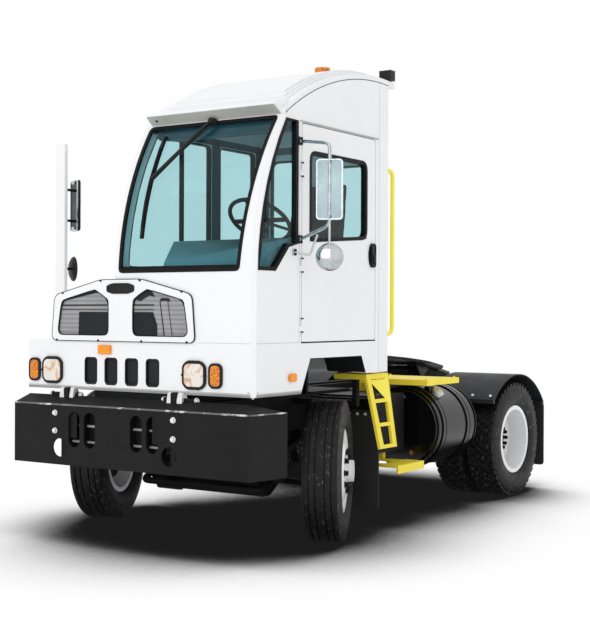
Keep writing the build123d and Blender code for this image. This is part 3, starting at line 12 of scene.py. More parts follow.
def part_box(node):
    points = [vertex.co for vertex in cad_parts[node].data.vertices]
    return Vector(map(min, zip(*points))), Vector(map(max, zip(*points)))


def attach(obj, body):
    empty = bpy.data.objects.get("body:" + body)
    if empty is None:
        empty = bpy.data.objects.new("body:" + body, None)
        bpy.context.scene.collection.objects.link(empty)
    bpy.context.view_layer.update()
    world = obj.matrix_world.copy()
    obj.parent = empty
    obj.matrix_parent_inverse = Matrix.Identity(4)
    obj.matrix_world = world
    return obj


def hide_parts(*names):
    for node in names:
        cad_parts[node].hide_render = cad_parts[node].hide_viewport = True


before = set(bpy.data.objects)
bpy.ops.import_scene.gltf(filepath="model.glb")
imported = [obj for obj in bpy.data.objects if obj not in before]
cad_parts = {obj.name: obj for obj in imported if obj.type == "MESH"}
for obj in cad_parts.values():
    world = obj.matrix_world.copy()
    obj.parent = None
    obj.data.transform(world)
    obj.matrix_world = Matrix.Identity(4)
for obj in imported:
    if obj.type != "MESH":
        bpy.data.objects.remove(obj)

LOG = logging.getLogger("terminal_tractor")
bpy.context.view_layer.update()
Point = tuple[float, float]
Limits = tuple[float, float]
Shape = bmesh.types.BMesh
Mesh = bpy.types.Mesh
Tree = bpy.types.NodeTree
Socket = bpy.types.NodeSocket

LEFTWARD = Vector((1, 0, 0))
REARWARD = Vector((0, 1, 0))
FORWARD = Vector((0, -1, 0))
UPWARD = Vector((0, 0, 1))

# Sizes that several sub-assemblies share, in drawn millimetres
WHEELBASE = 2946.0
AXLE_HEIGHT = 510.0
CAB_FRONT = -3996.0
PANEL_SEAM = 1446.0
ROOF_ARC = ((-3655.3, 2978.0), (-2946.0, 3303.0), (-2147.0, 3365.0))


class Side(Enum):
    """Side of the tractor, as the sign of X."""

    LEFT = 1
    RIGHT = -1


class Tread(Enum):
    """Kind of road tread."""

    RIB = "rib"
    LUG = "lug"


def drawn_origin() -> Vector:
    """Finds the drawn origin, on the ground below the middle of the rear axle.

    Returns:
        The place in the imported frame, in metres.
    """
    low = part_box("rear_tyres_right")[0]
    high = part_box("rear_tyres_left")[1]
    middle = (low + high) / 2
    return Vector((middle.x, middle.y, 0.0))


ORIGIN = drawn_origin()


def at(x: float, y: float, z: float) -> Vector:
    """Places a point that is given in drawn millimetres.

    Args:
        x: To the tractor's left, from its middle.
        y: To the rear, from the rear axle.
        z: Above the ground.

    Returns:
        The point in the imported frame, in metres.
    """
    return ORIGIN + Vector((x, y, z)) / 1000


# Colours and nodes


def linear(code: str) -> tuple[float, float, float, float]:
    """Turns an sRGB hex colour to linear light.

    Args:
        code: Six hex digits.

    Returns:
        Red, green, blue and an alpha of one.
    """
    parts = [int(code[i:i + 2], 16) / 255 for i in (0, 2, 4)]
    light = [c / 12.92 if c <= 0.04045 else ((c + 0.055) / 1.055) ** 2.4 for c in parts]
    return (light[0], light[1], light[2], 1.0)


def add_node(tree: Tree, kind: str, settings: Optional[Mapping] = None,
             inputs: Optional[Mapping] = None) -> bpy.types.Node:
    """Adds a node with its settings, values and links.

    Args:
        tree: Where the node goes.
        kind: Blender's name of the node type.
        settings: Properties of the node.
        inputs: Socket name or number to a value or to the socket that feeds it.

    Returns:
        The new node.
    """
    node = tree.nodes.new(kind)
    for key, value in (settings or {}).items():
        setattr(node, key, value)
    for key, value in (inputs or {}).items():
        if isinstance(value, Socket):
            tree.links.new(value, node.inputs[key])
        else:
            node.inputs[key].default_value = value
    return node


def per_metre(size_mm: float) -> float:
    """Scale of a texture whose grain is size_mm wide."""
    return 1000 / size_mm


def noise(tree: Tree, place: Socket, size_mm: float, detail: float, **more: float) -> Socket:
    """Adds a noise texture of a given size and gives its value."""
    inputs = {"Vector": place, "Scale": per_metre(size_mm), "Detail": detail, **more}
    return add_node(tree, "ShaderNodeTexNoise", inputs=inputs).outputs["Fac"]


def ramp(tree: Tree, value: Socket, low: float, high: float, more: Optional[Mapping] = None,
         settings: Optional[Mapping] = None) -> Socket:
    """Spreads a value from two limits to nought and one, or to limits of its own."""
    inputs = {"Value": value, "From Min": low, "From Max": high, **(more or {})}
    return add_node(tree, "ShaderNodeMapRange", settings, inputs).outputs["Result"]


def blend(tree: Tree, factor: Socket, first: object, second: object) -> Socket:
    """Mixes two colours."""
    inputs = {"Factor": factor, "A": first, "B": second}
    return add_node(tree, "ShaderNodeMix", {"data_type": "RGBA"}, inputs).outputs["Result"]


def vector_math(tree: Tree, operation: str, *values: object) -> bpy.types.Node:
    """Adds a sum on vectors."""
    return add_node(tree, "ShaderNodeVectorMath", {"operation": operation}, dict(enumerate(values)))


def larger(tree: Tree, first: Socket, second: Socket) -> Socket:
    """Gives the larger of two values."""
    return add_node(tree, "ShaderNodeMath", {"operation": "MAXIMUM"}, {0: first, 1: second}).outputs["Value"]


def fresh_tree(owner: bpy.types.ID) -> Tree:
    """Gives a material or world an empty node tree."""
    owner.use_nodes = True
    owner.node_tree.nodes.clear()
    return owner.node_tree


# Finishes


@dataclass(frozen=True)
class Finish:
    """Surface of one real material, with a colour that drifts and a fine grain."""

    name: str
    colour: str
    shade: str
    roughness: float = 0.5
    metallic: float = 0.0
    coat: float = 0.0
    drift_mm: float = 400.0
    grain_mm: float = 4.0
    grain_depth: float = 0.05
    ior: float = 1.5
    specular: float = 0.5

    def material(self) -> bpy.types.Material:
        """Gives the material, made on first use."""
        made = bpy.data.materials.get(self.name)
        if made is None:
            made = bpy.data.materials.new(self.name)
            tree = fresh_tree(made)
            place = add_node(tree, "ShaderNodeTexCoord").outputs["Object"]
            surface = self.surface(tree, place)
            add_node(tree, "ShaderNodeOutputMaterial", inputs={"Surface": surface})
        return made

    def tone(self, tree: Tree, place: Socket) -> Socket:
        """Colour that drifts between the finish's colour and its shade."""
        cloud = noise(tree, place, self.drift_mm, 4.0, Roughness=0.6)
        return blend(tree, ramp(tree, cloud, 0.35, 0.7), linear(self.colour), linear(self.shade))

    def grain(self, tree: Tree, place: Socket) -> Socket:
        """Height of the fine grain."""
        return noise(tree, place, self.grain_mm, 2.0)

    def surface(self, tree: Tree, place: Socket) -> Socket:
        """Builds the shader.

        Args:
            tree: The material's nodes.
            place: Object coordinates.

        Returns:
            The shader's output.
        """
        worn = noise(tree, place, self.drift_mm * 0.4, 5.0)
        rough = ramp(tree, worn, 0.3, 0.7, {
            "To Min": self.roughness * 0.88, "To Max": min(1.0, self.roughness * 1.15)})
        bump = add_node(tree, "ShaderNodeBump", inputs={
            "Strength": self.grain_depth, "Distance": self.grain_mm / 4000, "Height": self.grain(tree, place)})
        shader = add_node(tree, "ShaderNodeBsdfPrincipled", inputs={
            "Base Color": self.tone(tree, place), "Roughness": rough, "Metallic": self.metallic, "IOR": self.ior,
            "Coat Weight": self.coat, "Coat Roughness": 0.08, "Specular IOR Level": self.specular,
            "Normal": bump.outputs["Normal"]})
        return shader.outputs["BSDF"]


@dataclass(frozen=True)
class PerforatedSheet(Finish):
    """Sheet with punched round holes in a square grid, seen as dark dots."""

    pitch_mm: float = 14.0
    hole_mm: float = 8.0
    hole: str = "1A1A1C"

    def tone(self, tree: Tree, place: Socket) -> Socket:
        """Sheet colour with dark holes."""
        each = per_metre(self.pitch_mm)
        flat = vector_math(tree, "MULTIPLY", place, (each, 0.0, each)).outputs["Vector"]
        cell = vector_math(tree, "FRACTION", flat).outputs["Vector"]
        away = vector_math(tree, "DISTANCE", cell, (0.5, 0.0, 0.5)).outputs["Value"]
        edge, soft = self.hole_mm / self.pitch_mm / 2, 0.06
        inside = ramp(tree, away, edge + soft, edge - soft)
        return blend(tree, inside, super().tone(tree, place), linear(self.hole))


@dataclass(frozen=True)
class TreadPlate(Finish):
    """Painted step plate with raised bars that cross at right angles."""

    bar_mm: float = 36.0

    def grain(self, tree: Tree, place: Socket) -> Socket:
        """Height of the raised bars."""
        turned = add_node(tree, "ShaderNodeMapping", inputs={"Vector": place, "Rotation": (0, 0, math.radians(45))})
        check = add_node(tree, "ShaderNodeTexVoronoi", {"distance": "CHEBYCHEV"}, {
            "Vector": turned.outputs["Vector"], "Scale": per_metre(self.bar_mm), "Randomness": 0.0})
        return check.outputs["Distance"]


@dataclass(frozen=True)
class Weave(Finish):
    """Woven seat cloth, with two threads that cross, drawn coarser than real so that they show."""

    thread_mm: float = 6.0

    def grain(self, tree: Tree, place: Socket) -> Socket:
        """Height of the crossing threads."""
        waves = [add_node(tree, "ShaderNodeTexWave", {"bands_direction": way}, {
            "Vector": place, "Scale": per_metre(self.thread_mm) / 6.3}) for way in ("X", "Z")]
        return larger(tree, waves[0].outputs["Fac"], waves[1].outputs["Fac"])


@dataclass(frozen=True)
class Pane(Finish):
    """Tinted safety glass. Light for shadows passes straight through it, so that the cab is lit."""

    def surface(self, tree: Tree, place: Socket) -> Socket:
        """Builds the glass and its clear way for shadow rays."""
        glass = add_node(tree, "ShaderNodeBsdfPrincipled", inputs={
            "Base Color": linear(self.colour), "Roughness": self.roughness, "IOR": self.ior,
            "Transmission Weight": 1.0})
        clear = add_node(tree, "ShaderNodeBsdfTransparent", inputs={"Color": linear(self.shade)})
        path = add_node(tree, "ShaderNodeLightPath")
        straight = larger(tree, path.outputs["Is Shadow Ray"], path.outputs["Is Diffuse Ray"])
        both = add_node(tree, "ShaderNodeMixShader", inputs={
            0: straight, 1: glass.outputs["BSDF"], 2: clear.outputs["BSDF"]})
        return both.outputs["Shader"]


@dataclass(frozen=True)
class RibbedLens(Finish):
    """Moulded lamp lens, clear with a coloured body and prism ribs."""

    rib_mm: float = 14.0
    through: float = 0.35

    def surface(self, tree: Tree, place: Socket) -> Socket:
        """Builds a lens that partly lets light through."""
        prism = add_node(tree, "ShaderNodeTexVoronoi", {"distance": "CHEBYCHEV"}, {
            "Vector": place, "Scale": per_metre(self.rib_mm), "Randomness": 0.0})
        bump = add_node(tree, "ShaderNodeBump", inputs={
            "Strength": 0.5, "Distance": 0.002, "Height": prism.outputs["Distance"]})
        shader = add_node(tree, "ShaderNodeBsdfPrincipled", inputs={
            "Base Color": self.tone(tree, place), "Roughness": self.roughness, "IOR": self.ior,
            "Transmission Weight": self.through, "Normal": bump.outputs["Normal"]})
        return shader.outputs["BSDF"]


@dataclass(frozen=True)
class CutLens(RibbedLens):
    """Headlamp glass whose cut facets throw back warm and white patches."""

    warm: str = "DDA877"
    patch_mm: float = 34.0

    def tone(self, tree: Tree, place: Socket) -> Socket:
        """White glass with warm patches."""
        bent = noise(tree, place, self.patch_mm, 3.0, Distortion=1.2)
        return blend(tree, ramp(tree, bent, 0.46, 0.62), linear(self.colour), linear(self.warm))


@dataclass(frozen=True)
class DottedLens(RibbedLens):
    """Amber lens with moulded beads that show darker between them."""

    dark: str = "B4560A"
    bead_mm: float = 15.0

    def tone(self, tree: Tree, place: Socket) -> Socket:
        """Amber with a darker net between the beads."""
        bead = add_node(tree, "ShaderNodeTexVoronoi", inputs={
            "Vector": place, "Scale": per_metre(self.bead_mm), "Randomness": 0.7})
        spread = ramp(tree, bead.outputs["Distance"], 0.3, 0.62)
        return blend(tree, spread, linear(self.colour), linear(self.dark))


@dataclass(frozen=True)
class LinedSheet(Finish):
    """Pressed sheet with fine level lines, drawn coarser than real so that they show."""

    line_mm: float = 16.0
    dark: str = "6E6F72"

    def tone(self, tree: Tree, place: Socket) -> Socket:
        """Sheet colour with soft dark lines."""
        lines = add_node(tree, "ShaderNodeTexWave", {"bands_direction": "Z"}, {
            "Vector": place, "Scale": per_metre(self.line_mm) / 6.3, "Distortion": 0.4, "Detail": 1.0})
        spread = ramp(tree, lines.outputs["Fac"], 0.2, 1.0, {"To Max": 0.55})
        return blend(tree, spread, super().tone(tree, place), linear(self.dark))


@dataclass(frozen=True)
class HighlightPatches(Finish):
    """Surface with painted highlights as lighter patches, which may be drawn out upward."""

    bare: str = "E8E8E6"
    patch_mm: float = 90.0
    patch_from: float = 0.52
    stretch: float = 1.0

    def tone(self, tree: Tree, place: Socket) -> Socket:
        """Base colour with lighter patches of painted highlight."""
        drawn = vector_math(tree, "MULTIPLY", place, (1.0, 1.0, 1.0 / self.stretch)).outputs["Vector"]
        patch = noise(tree, drawn, self.patch_mm, 3.0, Roughness=0.7)
        spread = ramp(tree, patch, self.patch_from, self.patch_from + 0.14)
        return blend(tree, spread, super().tone(tree, place), linear(self.bare))


class Finishes:
    """Every finish on the tractor."""

    # Two-pack enamel on steel sheet: bright, with a soft orange peel
    WHITE = Finish("white_enamel", "F3F4F6", "EFF0F2", 0.34, coat=0.25, grain_mm=6, grain_depth=0.02, specular=0.35)
    # Powder coat on plate: satin, with a fine pebble
    BLACK = Finish("black_powder_coat", "131213", "191818", 0.5, grain_mm=5, grain_depth=0.12, specular=0.16)
    # Gloss enamel on a rolled drum
    TANK = Finish("gloss_black_enamel", "080809", "0C0C0D", 0.14, grain_mm=60, grain_depth=0.01, specular=0.42)
    # Safety enamel on folded plate
    YELLOW = TreadPlate("safety_yellow_enamel", "FCE948", "F5DC36", 0.45, grain_depth=0.25, specular=0.3)
    # Safety enamel on round tube
    YELLOW_TUBE = Finish("yellow_enamel_tube", "FEF04E", "F8E440", 0.4, coat=0.1, specular=0.3)
    # Chassis paint over castings and forgings, matte and dusty
    CHASSIS = Finish("chassis_black", "131314", "1C1C1D", 0.62, grain_mm=12, grain_depth=0.25, specular=0.16)
    # Cast iron of axles and knuckles, rough from the sand
    CAST = Finish("sand_cast_iron", "1B1B1C", "262524", 0.7, grain_mm=9, grain_depth=0.4, specular=0.2)
    # Coupling plate, bright where the grease is rubbed off
    GREASY = Finish("greased_plate_steel", "38383A", "1C1C1D", 0.36, metallic=0.8, drift_mm=160, grain_mm=20)
    # Vulcanised rubber: dark grey, dull, with painted highlights as light streaks up the tread
    TYRE = HighlightPatches("tyre_rubber", "0C0C0D", "141415", 0.55, drift_mm=120, grain_mm=5, grain_depth=0.2, specular=0.3,
                    bare="7C7C7D", patch_mm=18, patch_from=0.6, stretch=4.0)
    # Moulded rubber sheet of the flaps
    RUBBER = Finish("sheet_rubber", "2A2A2A", "343433", 0.66, grain_mm=8, grain_depth=0.3, specular=0.2)
    # Extruded rubber round the glass
    SEAL = Finish("extruded_rubber_seal", "0D0E10", "131416", 0.5, grain_mm=6, grain_depth=0.08, specular=0.15)
    # Moulded plastic of the rear fenders
    FENDER = Finish("moulded_fender_plastic", "232427", "2B2C30", 0.5, grain_mm=6, grain_depth=0.15, specular=0.25)
    # Moulded black plastic of lamps and handles
    PLASTIC = Finish("moulded_black_plastic", "121213", "1A1A1B", 0.42, grain_mm=3, grain_depth=0.1, specular=0.25)
    # Grained blue-grey mouldings inside the cab
    TRIM = Finish("grained_cab_trim", "6E9AA6", "7AA6B1", 0.6, grain_mm=5, grain_depth=0.2, specular=0.3)
    # Dark liner with the cab's inner shade and the glass's tint painted into its colour
    LINER_SHADE_AND_TINT = Finish("cab_liner_painted_shade_and_tint", "33606E", "2A5462", 0.7, grain_mm=8, grain_depth=0.1, specular=0.2)
    # Plated and polished metals
    CHROME = Finish("polished_chrome", "C9CDD0", "A7ADB1", 0.09, metallic=1.0, drift_mm=60, grain_depth=0.01)
    # Back of the left mirror: half-metallic chrome with a teal-grey painted reflection in its colour
    MIRROR_BACK = Finish("mirror_back_painted_reflection", "A9BDC2", "93A7AD", 0.3, metallic=0.5, drift_mm=200)
    # Zinc-plated fasteners
    ZINC = Finish("zinc_plated_steel", "F0F1F0", "DCDDDC", 0.35, metallic=0.3, drift_mm=40, grain_depth=0.05)
    # Silvered glass of the mirrors
    SILVER_GLASS = Finish("silvered_mirror_glass", "E8ECEE", "E0E5E8", 0.02, metallic=1.0, grain_depth=0.0)
    # Galvanised sheet behind the grille
    GREY_SHEET = LinedSheet("lined_grey_sheet", "A3A3A6", "8E8D92", 0.55, metallic=0.1)
    # Punched black sheet in the grille and slots
    DARK_MESH = PerforatedSheet("dark_perforated_sheet", "26272B", "2D2E33", 0.6, specular=0.15, pitch_mm=11,
                                hole_mm=6, hole="17181A")
    # Radiator core, dull with dust
    CORE = Finish("radiator_core", "1F2022", "292A2C", 0.7, grain_mm=6, grain_depth=0.4)
    # Painted shade on the panels' rounded lower edge, and the plain grey of the bars behind the bumper's slots
    LIP_SHADE_AND_BAR_GREY = Finish("lip_painted_shade_and_bar_grey", "9C9C9B", "8A8A89", 0.5)
    # Lighter painted shade along the upper line of that edge
    LIP_HALF_SHADE = Finish("lip_painted_half_shade", "C9C9C8", "B9B9B8", 0.5)
    # White enamel in the brow's shade
    VISOR = Finish("shaded_visor_paint", "B9B9B2", "A7A7A0", 0.55, specular=0.3)
    # Painted highlight along the bumper's top edge: grey with lighter patches
    EDGE = HighlightPatches("bumper_edge_painted_highlight", "5B5C60", "707176", 0.4, drift_mm=120, specular=0.4)
    # Shadow in a panel joint
    SEAM = Finish("panel_joint_shadow", "C6C8CA", "CED0D2", 0.8, specular=0.1)
    # Deep shadow in an open joint
    JOINT = Finish("deep_joint_shadow", "2A2C2E", "343638", 0.8, specular=0.1)
    # Woven cloth of the seat
    CLOTH = Weave("woven_seat_cloth", "0B0B0C", "121214", 0.9, grain_depth=0.5, specular=0.1)
    # Tinted safety glass
    GLASS = Pane("tinted_safety_glass", "CFE9EB", "D3ECEE", 0.0, ior=1.22)
    # Beaded amber lens
    AMBER = DottedLens("moulded_amber_lens", "F59A20", "EC8A16", 0.25, through=0.0, dark="C0620E")
    # Smooth amber lens
    AMBER_PLAIN = RibbedLens("plain_amber_lens", "F79C1C", "F29416", 0.25, through=0.0)
    # Red rear lens
    RED = RibbedLens("moulded_red_lens", "B01210", "9A0D0C", 0.12)
    # Cut glass of headlamps and work lamp
    CLEAR = CutLens("cut_headlamp_glass", "F4EEE6", "EFE2D2", 0.12, rib_mm=24, through=0.1, warm="E2B184",
                    patch_mm=95)
    # Blue plastic cap of the tank's breather
    BLUE = Finish("blue_moulded_cap", "1E78C8", "2A84D2", 0.4)
    # Brass drain fitting
    BRASS = Finish("brass_fitting", "C98A4A", "B87A3C", 0.3, metallic=0.9)


# Mesh making


def finish_piece(name: str, shape: Union[Shape, Mesh], finish: Finish, body: str,
                 replaced: Sequence[str] = (), smooth: float = 35.0, bevel_mm: float = 0.0) -> bpy.types.Object:
    """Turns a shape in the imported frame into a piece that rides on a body.

    Args:
        name: The piece's name.
        shape: Its shape, in place, which is freed if it is still being made.
        finish: Its finish.
        body: The body that carries it.
        replaced: CAD nodes that it stands for.
        smooth: Angle in degrees under which edges are shaded smooth.
        bevel_mm: Width of a bevel on its edges.

    Returns:
        The piece.
    """
    mesh = as_mesh(shape, name) if isinstance(shape, Shape) else shape
    piece = bpy.data.objects.new(name, mesh)
    mesh.name = name
    bpy.context.scene.collection.objects.link(piece)
    mesh.materials.clear()
    mesh.materials.append(finish.material())
    if bevel_mm:
        work = bmesh.new()
        work.from_mesh(mesh)
        sharp = [e for e in work.edges if len(e.link_faces) == 2 and e.calc_face_angle(0.0) > math.radians(30)]
        bmesh.ops.bevel(work, geom=sharp, offset=bevel_mm / 1000, segments=2, affect="EDGES", clamp_overlap=True)
        work.to_mesh(mesh)
        work.free()
    mesh.shade_smooth()
    mesh.set_sharp_from_angle(angle=math.radians(smooth))
    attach(piece, body)
    if replaced:
        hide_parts(*replaced)
    LOG.info("%s on %s, %d faces", name, body, len(mesh.polygons))
    return piece


def as_mesh(work: Shape, name: str) -> Mesh:
    """Closes up a shape, turns its faces outward and gives a mesh.

    Args:
        work: The shape, which is freed.
        name: The mesh's name.

    Returns:
        The mesh.
    """
    bmesh.ops.remove_doubles(work, verts=work.verts, dist=1e-5)
    bmesh.ops.recalc_face_normals(work, faces=work.faces)
    mesh = bpy.data.meshes.new(name)
    work.to_mesh(mesh)
    work.free()
    return mesh


def frame_along(direction: Vector, up: Vector = UPWARD) -> Matrix:
    """Turn that takes Z to a direction.

    Args:
        direction: Where Z goes.
        up: What the turned X stays square to.

    Returns:
        A rotation of four by four.
    """
    z = direction.normalized()
    side = up.cross(z)
    x = side.normalized() if side.length > 1e-6 else LEFTWARD
    y = z.cross(x)
    return Matrix((x, y, z)).transposed().to_4x4()


def lathe(work: Shape, profile: Sequence[Point], centre: Vector, axis: Vector,
          segments: int = 64, closed: bool = True) -> None:
    """Turns a profile about an axis.

    Args:
        work: Where the shape goes.
        profile: Distance along the axis and radius, in millimetres.
        centre: The middle, where the distance is zero.
        axis: The axis.
        segments: Steps round.
        closed: Whether the profile's last point joins its first.
    """
    turn = Matrix.Translation(centre) @ frame_along(axis)
    rings = []
    for along, radius in profile:
        if radius <= 0:
            rings.append([work.verts.new(turn @ Vector((0, 0, along / 1000)))])
            continue
        rings.append([work.verts.new(turn @ Vector((radius / 1000 * math.cos(a), radius / 1000 * math.sin(a),
                                                    along / 1000)))
                      for a in (2 * math.pi * i / segments for i in range(segments))])
    pairs = list(zip(rings, rings[1:]))
    if closed:
        pairs.append((rings[-1], rings[0]))
    for a, b in pairs:
        for i in range(segments):
            j = (i + 1) % segments
            corners = [a[i % len(a)], a[j % len(a)], b[j % len(b)], b[i % len(b)]]
            unique = list(dict.fromkeys(corners))
            if len(unique) > 2:
                work.faces.new(unique)


def slab(work: Shape, outline: Sequence[Vector], thick: Vector) -> None:
    """Plate with a given outline, thickened along a vector.

    Args:
        work: Where the shape goes.
        outline: Corners in order.
        thick: The way and amount of the thickness, in metres.
    """
    low = [work.verts.new(p) for p in outline]
    high = [work.verts.new(p + thick) for p in outline]
    work.faces.new(list(reversed(low)))
    work.faces.new(high)
    for i, _ in enumerate(outline):
        j = (i + 1) % len(outline)
        work.faces.new((low[i], low[j], high[j], high[i]))


def rounded_outline(u: Limits, v: Limits, radius: float, steps: int = 6) -> list[Point]:
    """Outline of a rectangle with rounded corners.

    Args:
        u: Limits one way.
        v: Limits the other way.
        radius: Corner radius.
        steps: Steps round each corner.

    Returns:
        Points in order.
    """
    corners = [(u[1] - radius, v[1] - radius, 0), (u[0] + radius, v[1] - radius, 90),
               (u[0] + radius, v[0] + radius, 180), (u[1] - radius, v[0] + radius, 270)]
    points = []
    for cu, cv, start in corners:
        for i in range(steps + 1):
            a = math.radians(start + 90 * i / steps)
            points.append((cu + radius * math.cos(a), cv + radius * math.sin(a)))
    return points


def rounded_corner(before: Vector, corner: Vector, after: Vector, radius: float, steps: int) -> list[Vector]:
    """Points round one corner of a path.

    Args:
        before: The point before the corner.
        corner: The corner.
        after: The point after it.
        radius: How far the corner is cut back at most.
        steps: Steps round it.

    Returns:
        Points in order.
    """
    a, b = before - corner, after - corner
    cut = min(radius, a.length * 0.45, b.length * 0.45)
    start, end = corner + a.normalized() * cut, corner + b.normalized() * cut
    return [start * (1 - t) ** 2 + corner * 2 * t * (1 - t) + end * t ** 2
            for t in (k / steps for k in range(steps + 1))]


def rounded_polygon(corners: Sequence[Point], radius: float, steps: int = 5) -> list[Point]:
    """Rounds the corners of a polygon.

    Args:
        corners: The polygon.
        radius: How far each corner is cut back.
        steps: Steps round each corner.

    Returns:
        Points in order.
    """
    given = [Vector(c) for c in corners]
    points = []
    for i, corner in enumerate(given):
        points += rounded_corner(given[i - 1], corner, given[(i + 1) % len(given)], radius, steps)
    return [(p.x, p.y) for p in points]


def edge_strip(work: Shape, path: Sequence[Vector], normals: Union[Vector, Sequence[Vector]],
               inward: float, outward: float, deep: float, proud: float, closed: bool = True) -> None:
    """Strip of rectangular section along a path on a surface.

    Args:
        work: Where the shape goes.
        path: Points of the path, in metres.
        normals: The surface's outward way, at each point or for all.
        inward: Width to the path's left, in millimetres.
        outward: Width to its right.
        deep: Depth below the surface.
        proud: Height above it.
        closed: Whether the path's last point joins its first.
    """
    count = len(path)
    if isinstance(normals, Vector):
        normals = [normals] * count
    rings = []
    for i in range(count):
        after, before = ((i + 1) % count, i - 1) if closed else (min(i + 1, count - 1), max(i - 1, 0))
        along = (path[after] - path[before]).normalized()
        n = normals[i]
        left = n.cross(along).normalized()
        rings.append([work.verts.new(path[i] + left * (s / 1000) + n * (h / 1000))
                      for s, h in ((inward, -deep), (inward, proud), (-outward, proud), (-outward, -deep))])
    for i in range(count if closed else count - 1):
        a, b = rings[i], rings[(i + 1) % count]
        for k in range(4):
            m = (k + 1) % 4
            work.faces.new((a[k], a[m], b[m], b[k]))
    if not closed:
        work.faces.new(rings[0])
        work.faces.new(list(reversed(rings[-1])))


def front_plate(work: Shape, outline: Sequence[Point], y: float, depth: float) -> None:
    """Plate that faces forward, from X and Z outline points, with a depth to the rear."""
    slab(work, [at(x, y, z) for x, z in outline], Vector((0, depth / 1000, 0)))


def side_plate(work: Shape, outline: Sequence[Point], x: float, depth: float) -> None:
    """Plate that faces sideways, from Y and Z outline points, with a depth along X."""
    slab(work, [at(x, y, z) for y, z in outline], Vector((depth / 1000, 0, 0)))


def block(work: Shape, x: Limits, y: Limits, z: Limits) -> None:
    """Box between limits in drawn millimetres."""
    low, high = at(min(x), min(y), min(z)), at(max(x), max(y), max(z))
    place = Matrix.Translation((low + high) / 2) @ Matrix.Diagonal((*(high - low), 1))
    bmesh.ops.create_cube(work, size=1.0, matrix=place)


def arc_points(start: Point, middle: Point, end: Point, limits: Limits, count: int) -> list[Point]:
    """Points on the circle through three points, evenly spaced by their first number.

    Args:
        start: First point.
        middle: Second point.
        end: Third point.
        limits: First number of the first and last point wanted.
        count: How many points.

    Returns:
        The points.
    """
    (ax, ay), (bx, by), (cx, cy) = start, middle, end
    d = 2 * (ax * (by - cy) + bx * (cy - ay) + cx * (ay - by))
    sa, sb, sc = ax * ax + ay * ay, bx * bx + by * by, cx * cx + cy * cy
    ux = (sa * (by - cy) + sb * (cy - ay) + sc * (ay - by)) / d
    uy = (sa * (cx - bx) + sb * (ax - cx) + sc * (bx - ax)) / d
    radius = math.hypot(ax - ux, ay - uy)
    points = []
    for i in range(count):
        x = limits[0] + (limits[1] - limits[0]) * i / (count - 1)
        points.append((x, uy + math.sqrt(radius * radius - (x - ux) ** 2)))
    return points


def tube_into(work: Shape, points: Sequence[Vector], radius_mm: float, bend_mm: float, sides: int = 12) -> None:
    """Adds a round bent tube to a shape, along straight runs with rounded corners.

    Args:
        work: Where the shape goes.
        points: Ends and corners.
        radius_mm: The tube's radius.
        bend_mm: How far each corner is cut back.
        sides: Sides of the section.
    """
    path = [points[0]]
    for before, corner, after in zip(points, points[1:], points[2:]):
        path += rounded_corner(before, corner, after, bend_mm / 1000, 8)
    path.append(points[-1])
    tube = bmesh.new()
    rings = []
    for i, p in enumerate(path):
        along = (path[min(i + 1, len(path) - 1)] - path[max(i - 1, 0)]).normalized()
        turn = frame_along(along, Vector((0.31, 0.17, 0.93)))
        rings.append([tube.verts.new(p + turn @ Vector((radius_mm / 1000 * math.cos(a),
                                                        radius_mm / 1000 * math.sin(a), 0)))
                      for a in (2 * math.pi * k / sides for k in range(sides))])
    for a, b in zip(rings, rings[1:]):
        for k in range(sides):
            m = (k + 1) % sides
            tube.faces.new((a[k], a[m], b[m], b[k]))
    tube.faces.new(list(reversed(rings[0])))
    tube.faces.new(rings[-1])
    mesh = as_mesh(tube, "tube")
    work.from_mesh(mesh)
    bpy.data.meshes.remove(mesh)


# Repeats by Geometry Nodes


def sockets(tree: Tree, sizes: Mapping[str, str]) -> None:
    """Gives a tree its way in and out for geometry, and a named input for each size."""
    kinds = [("Geometry", "INPUT", "Geometry")] + [(name, "INPUT", kind) for name, kind in sizes.items()]
    for name, way, kind in kinds + [("Geometry", "OUTPUT", "Geometry")]:
        tree.interface.new_socket(name, in_out=way, socket_type=f"NodeSocket{kind}")


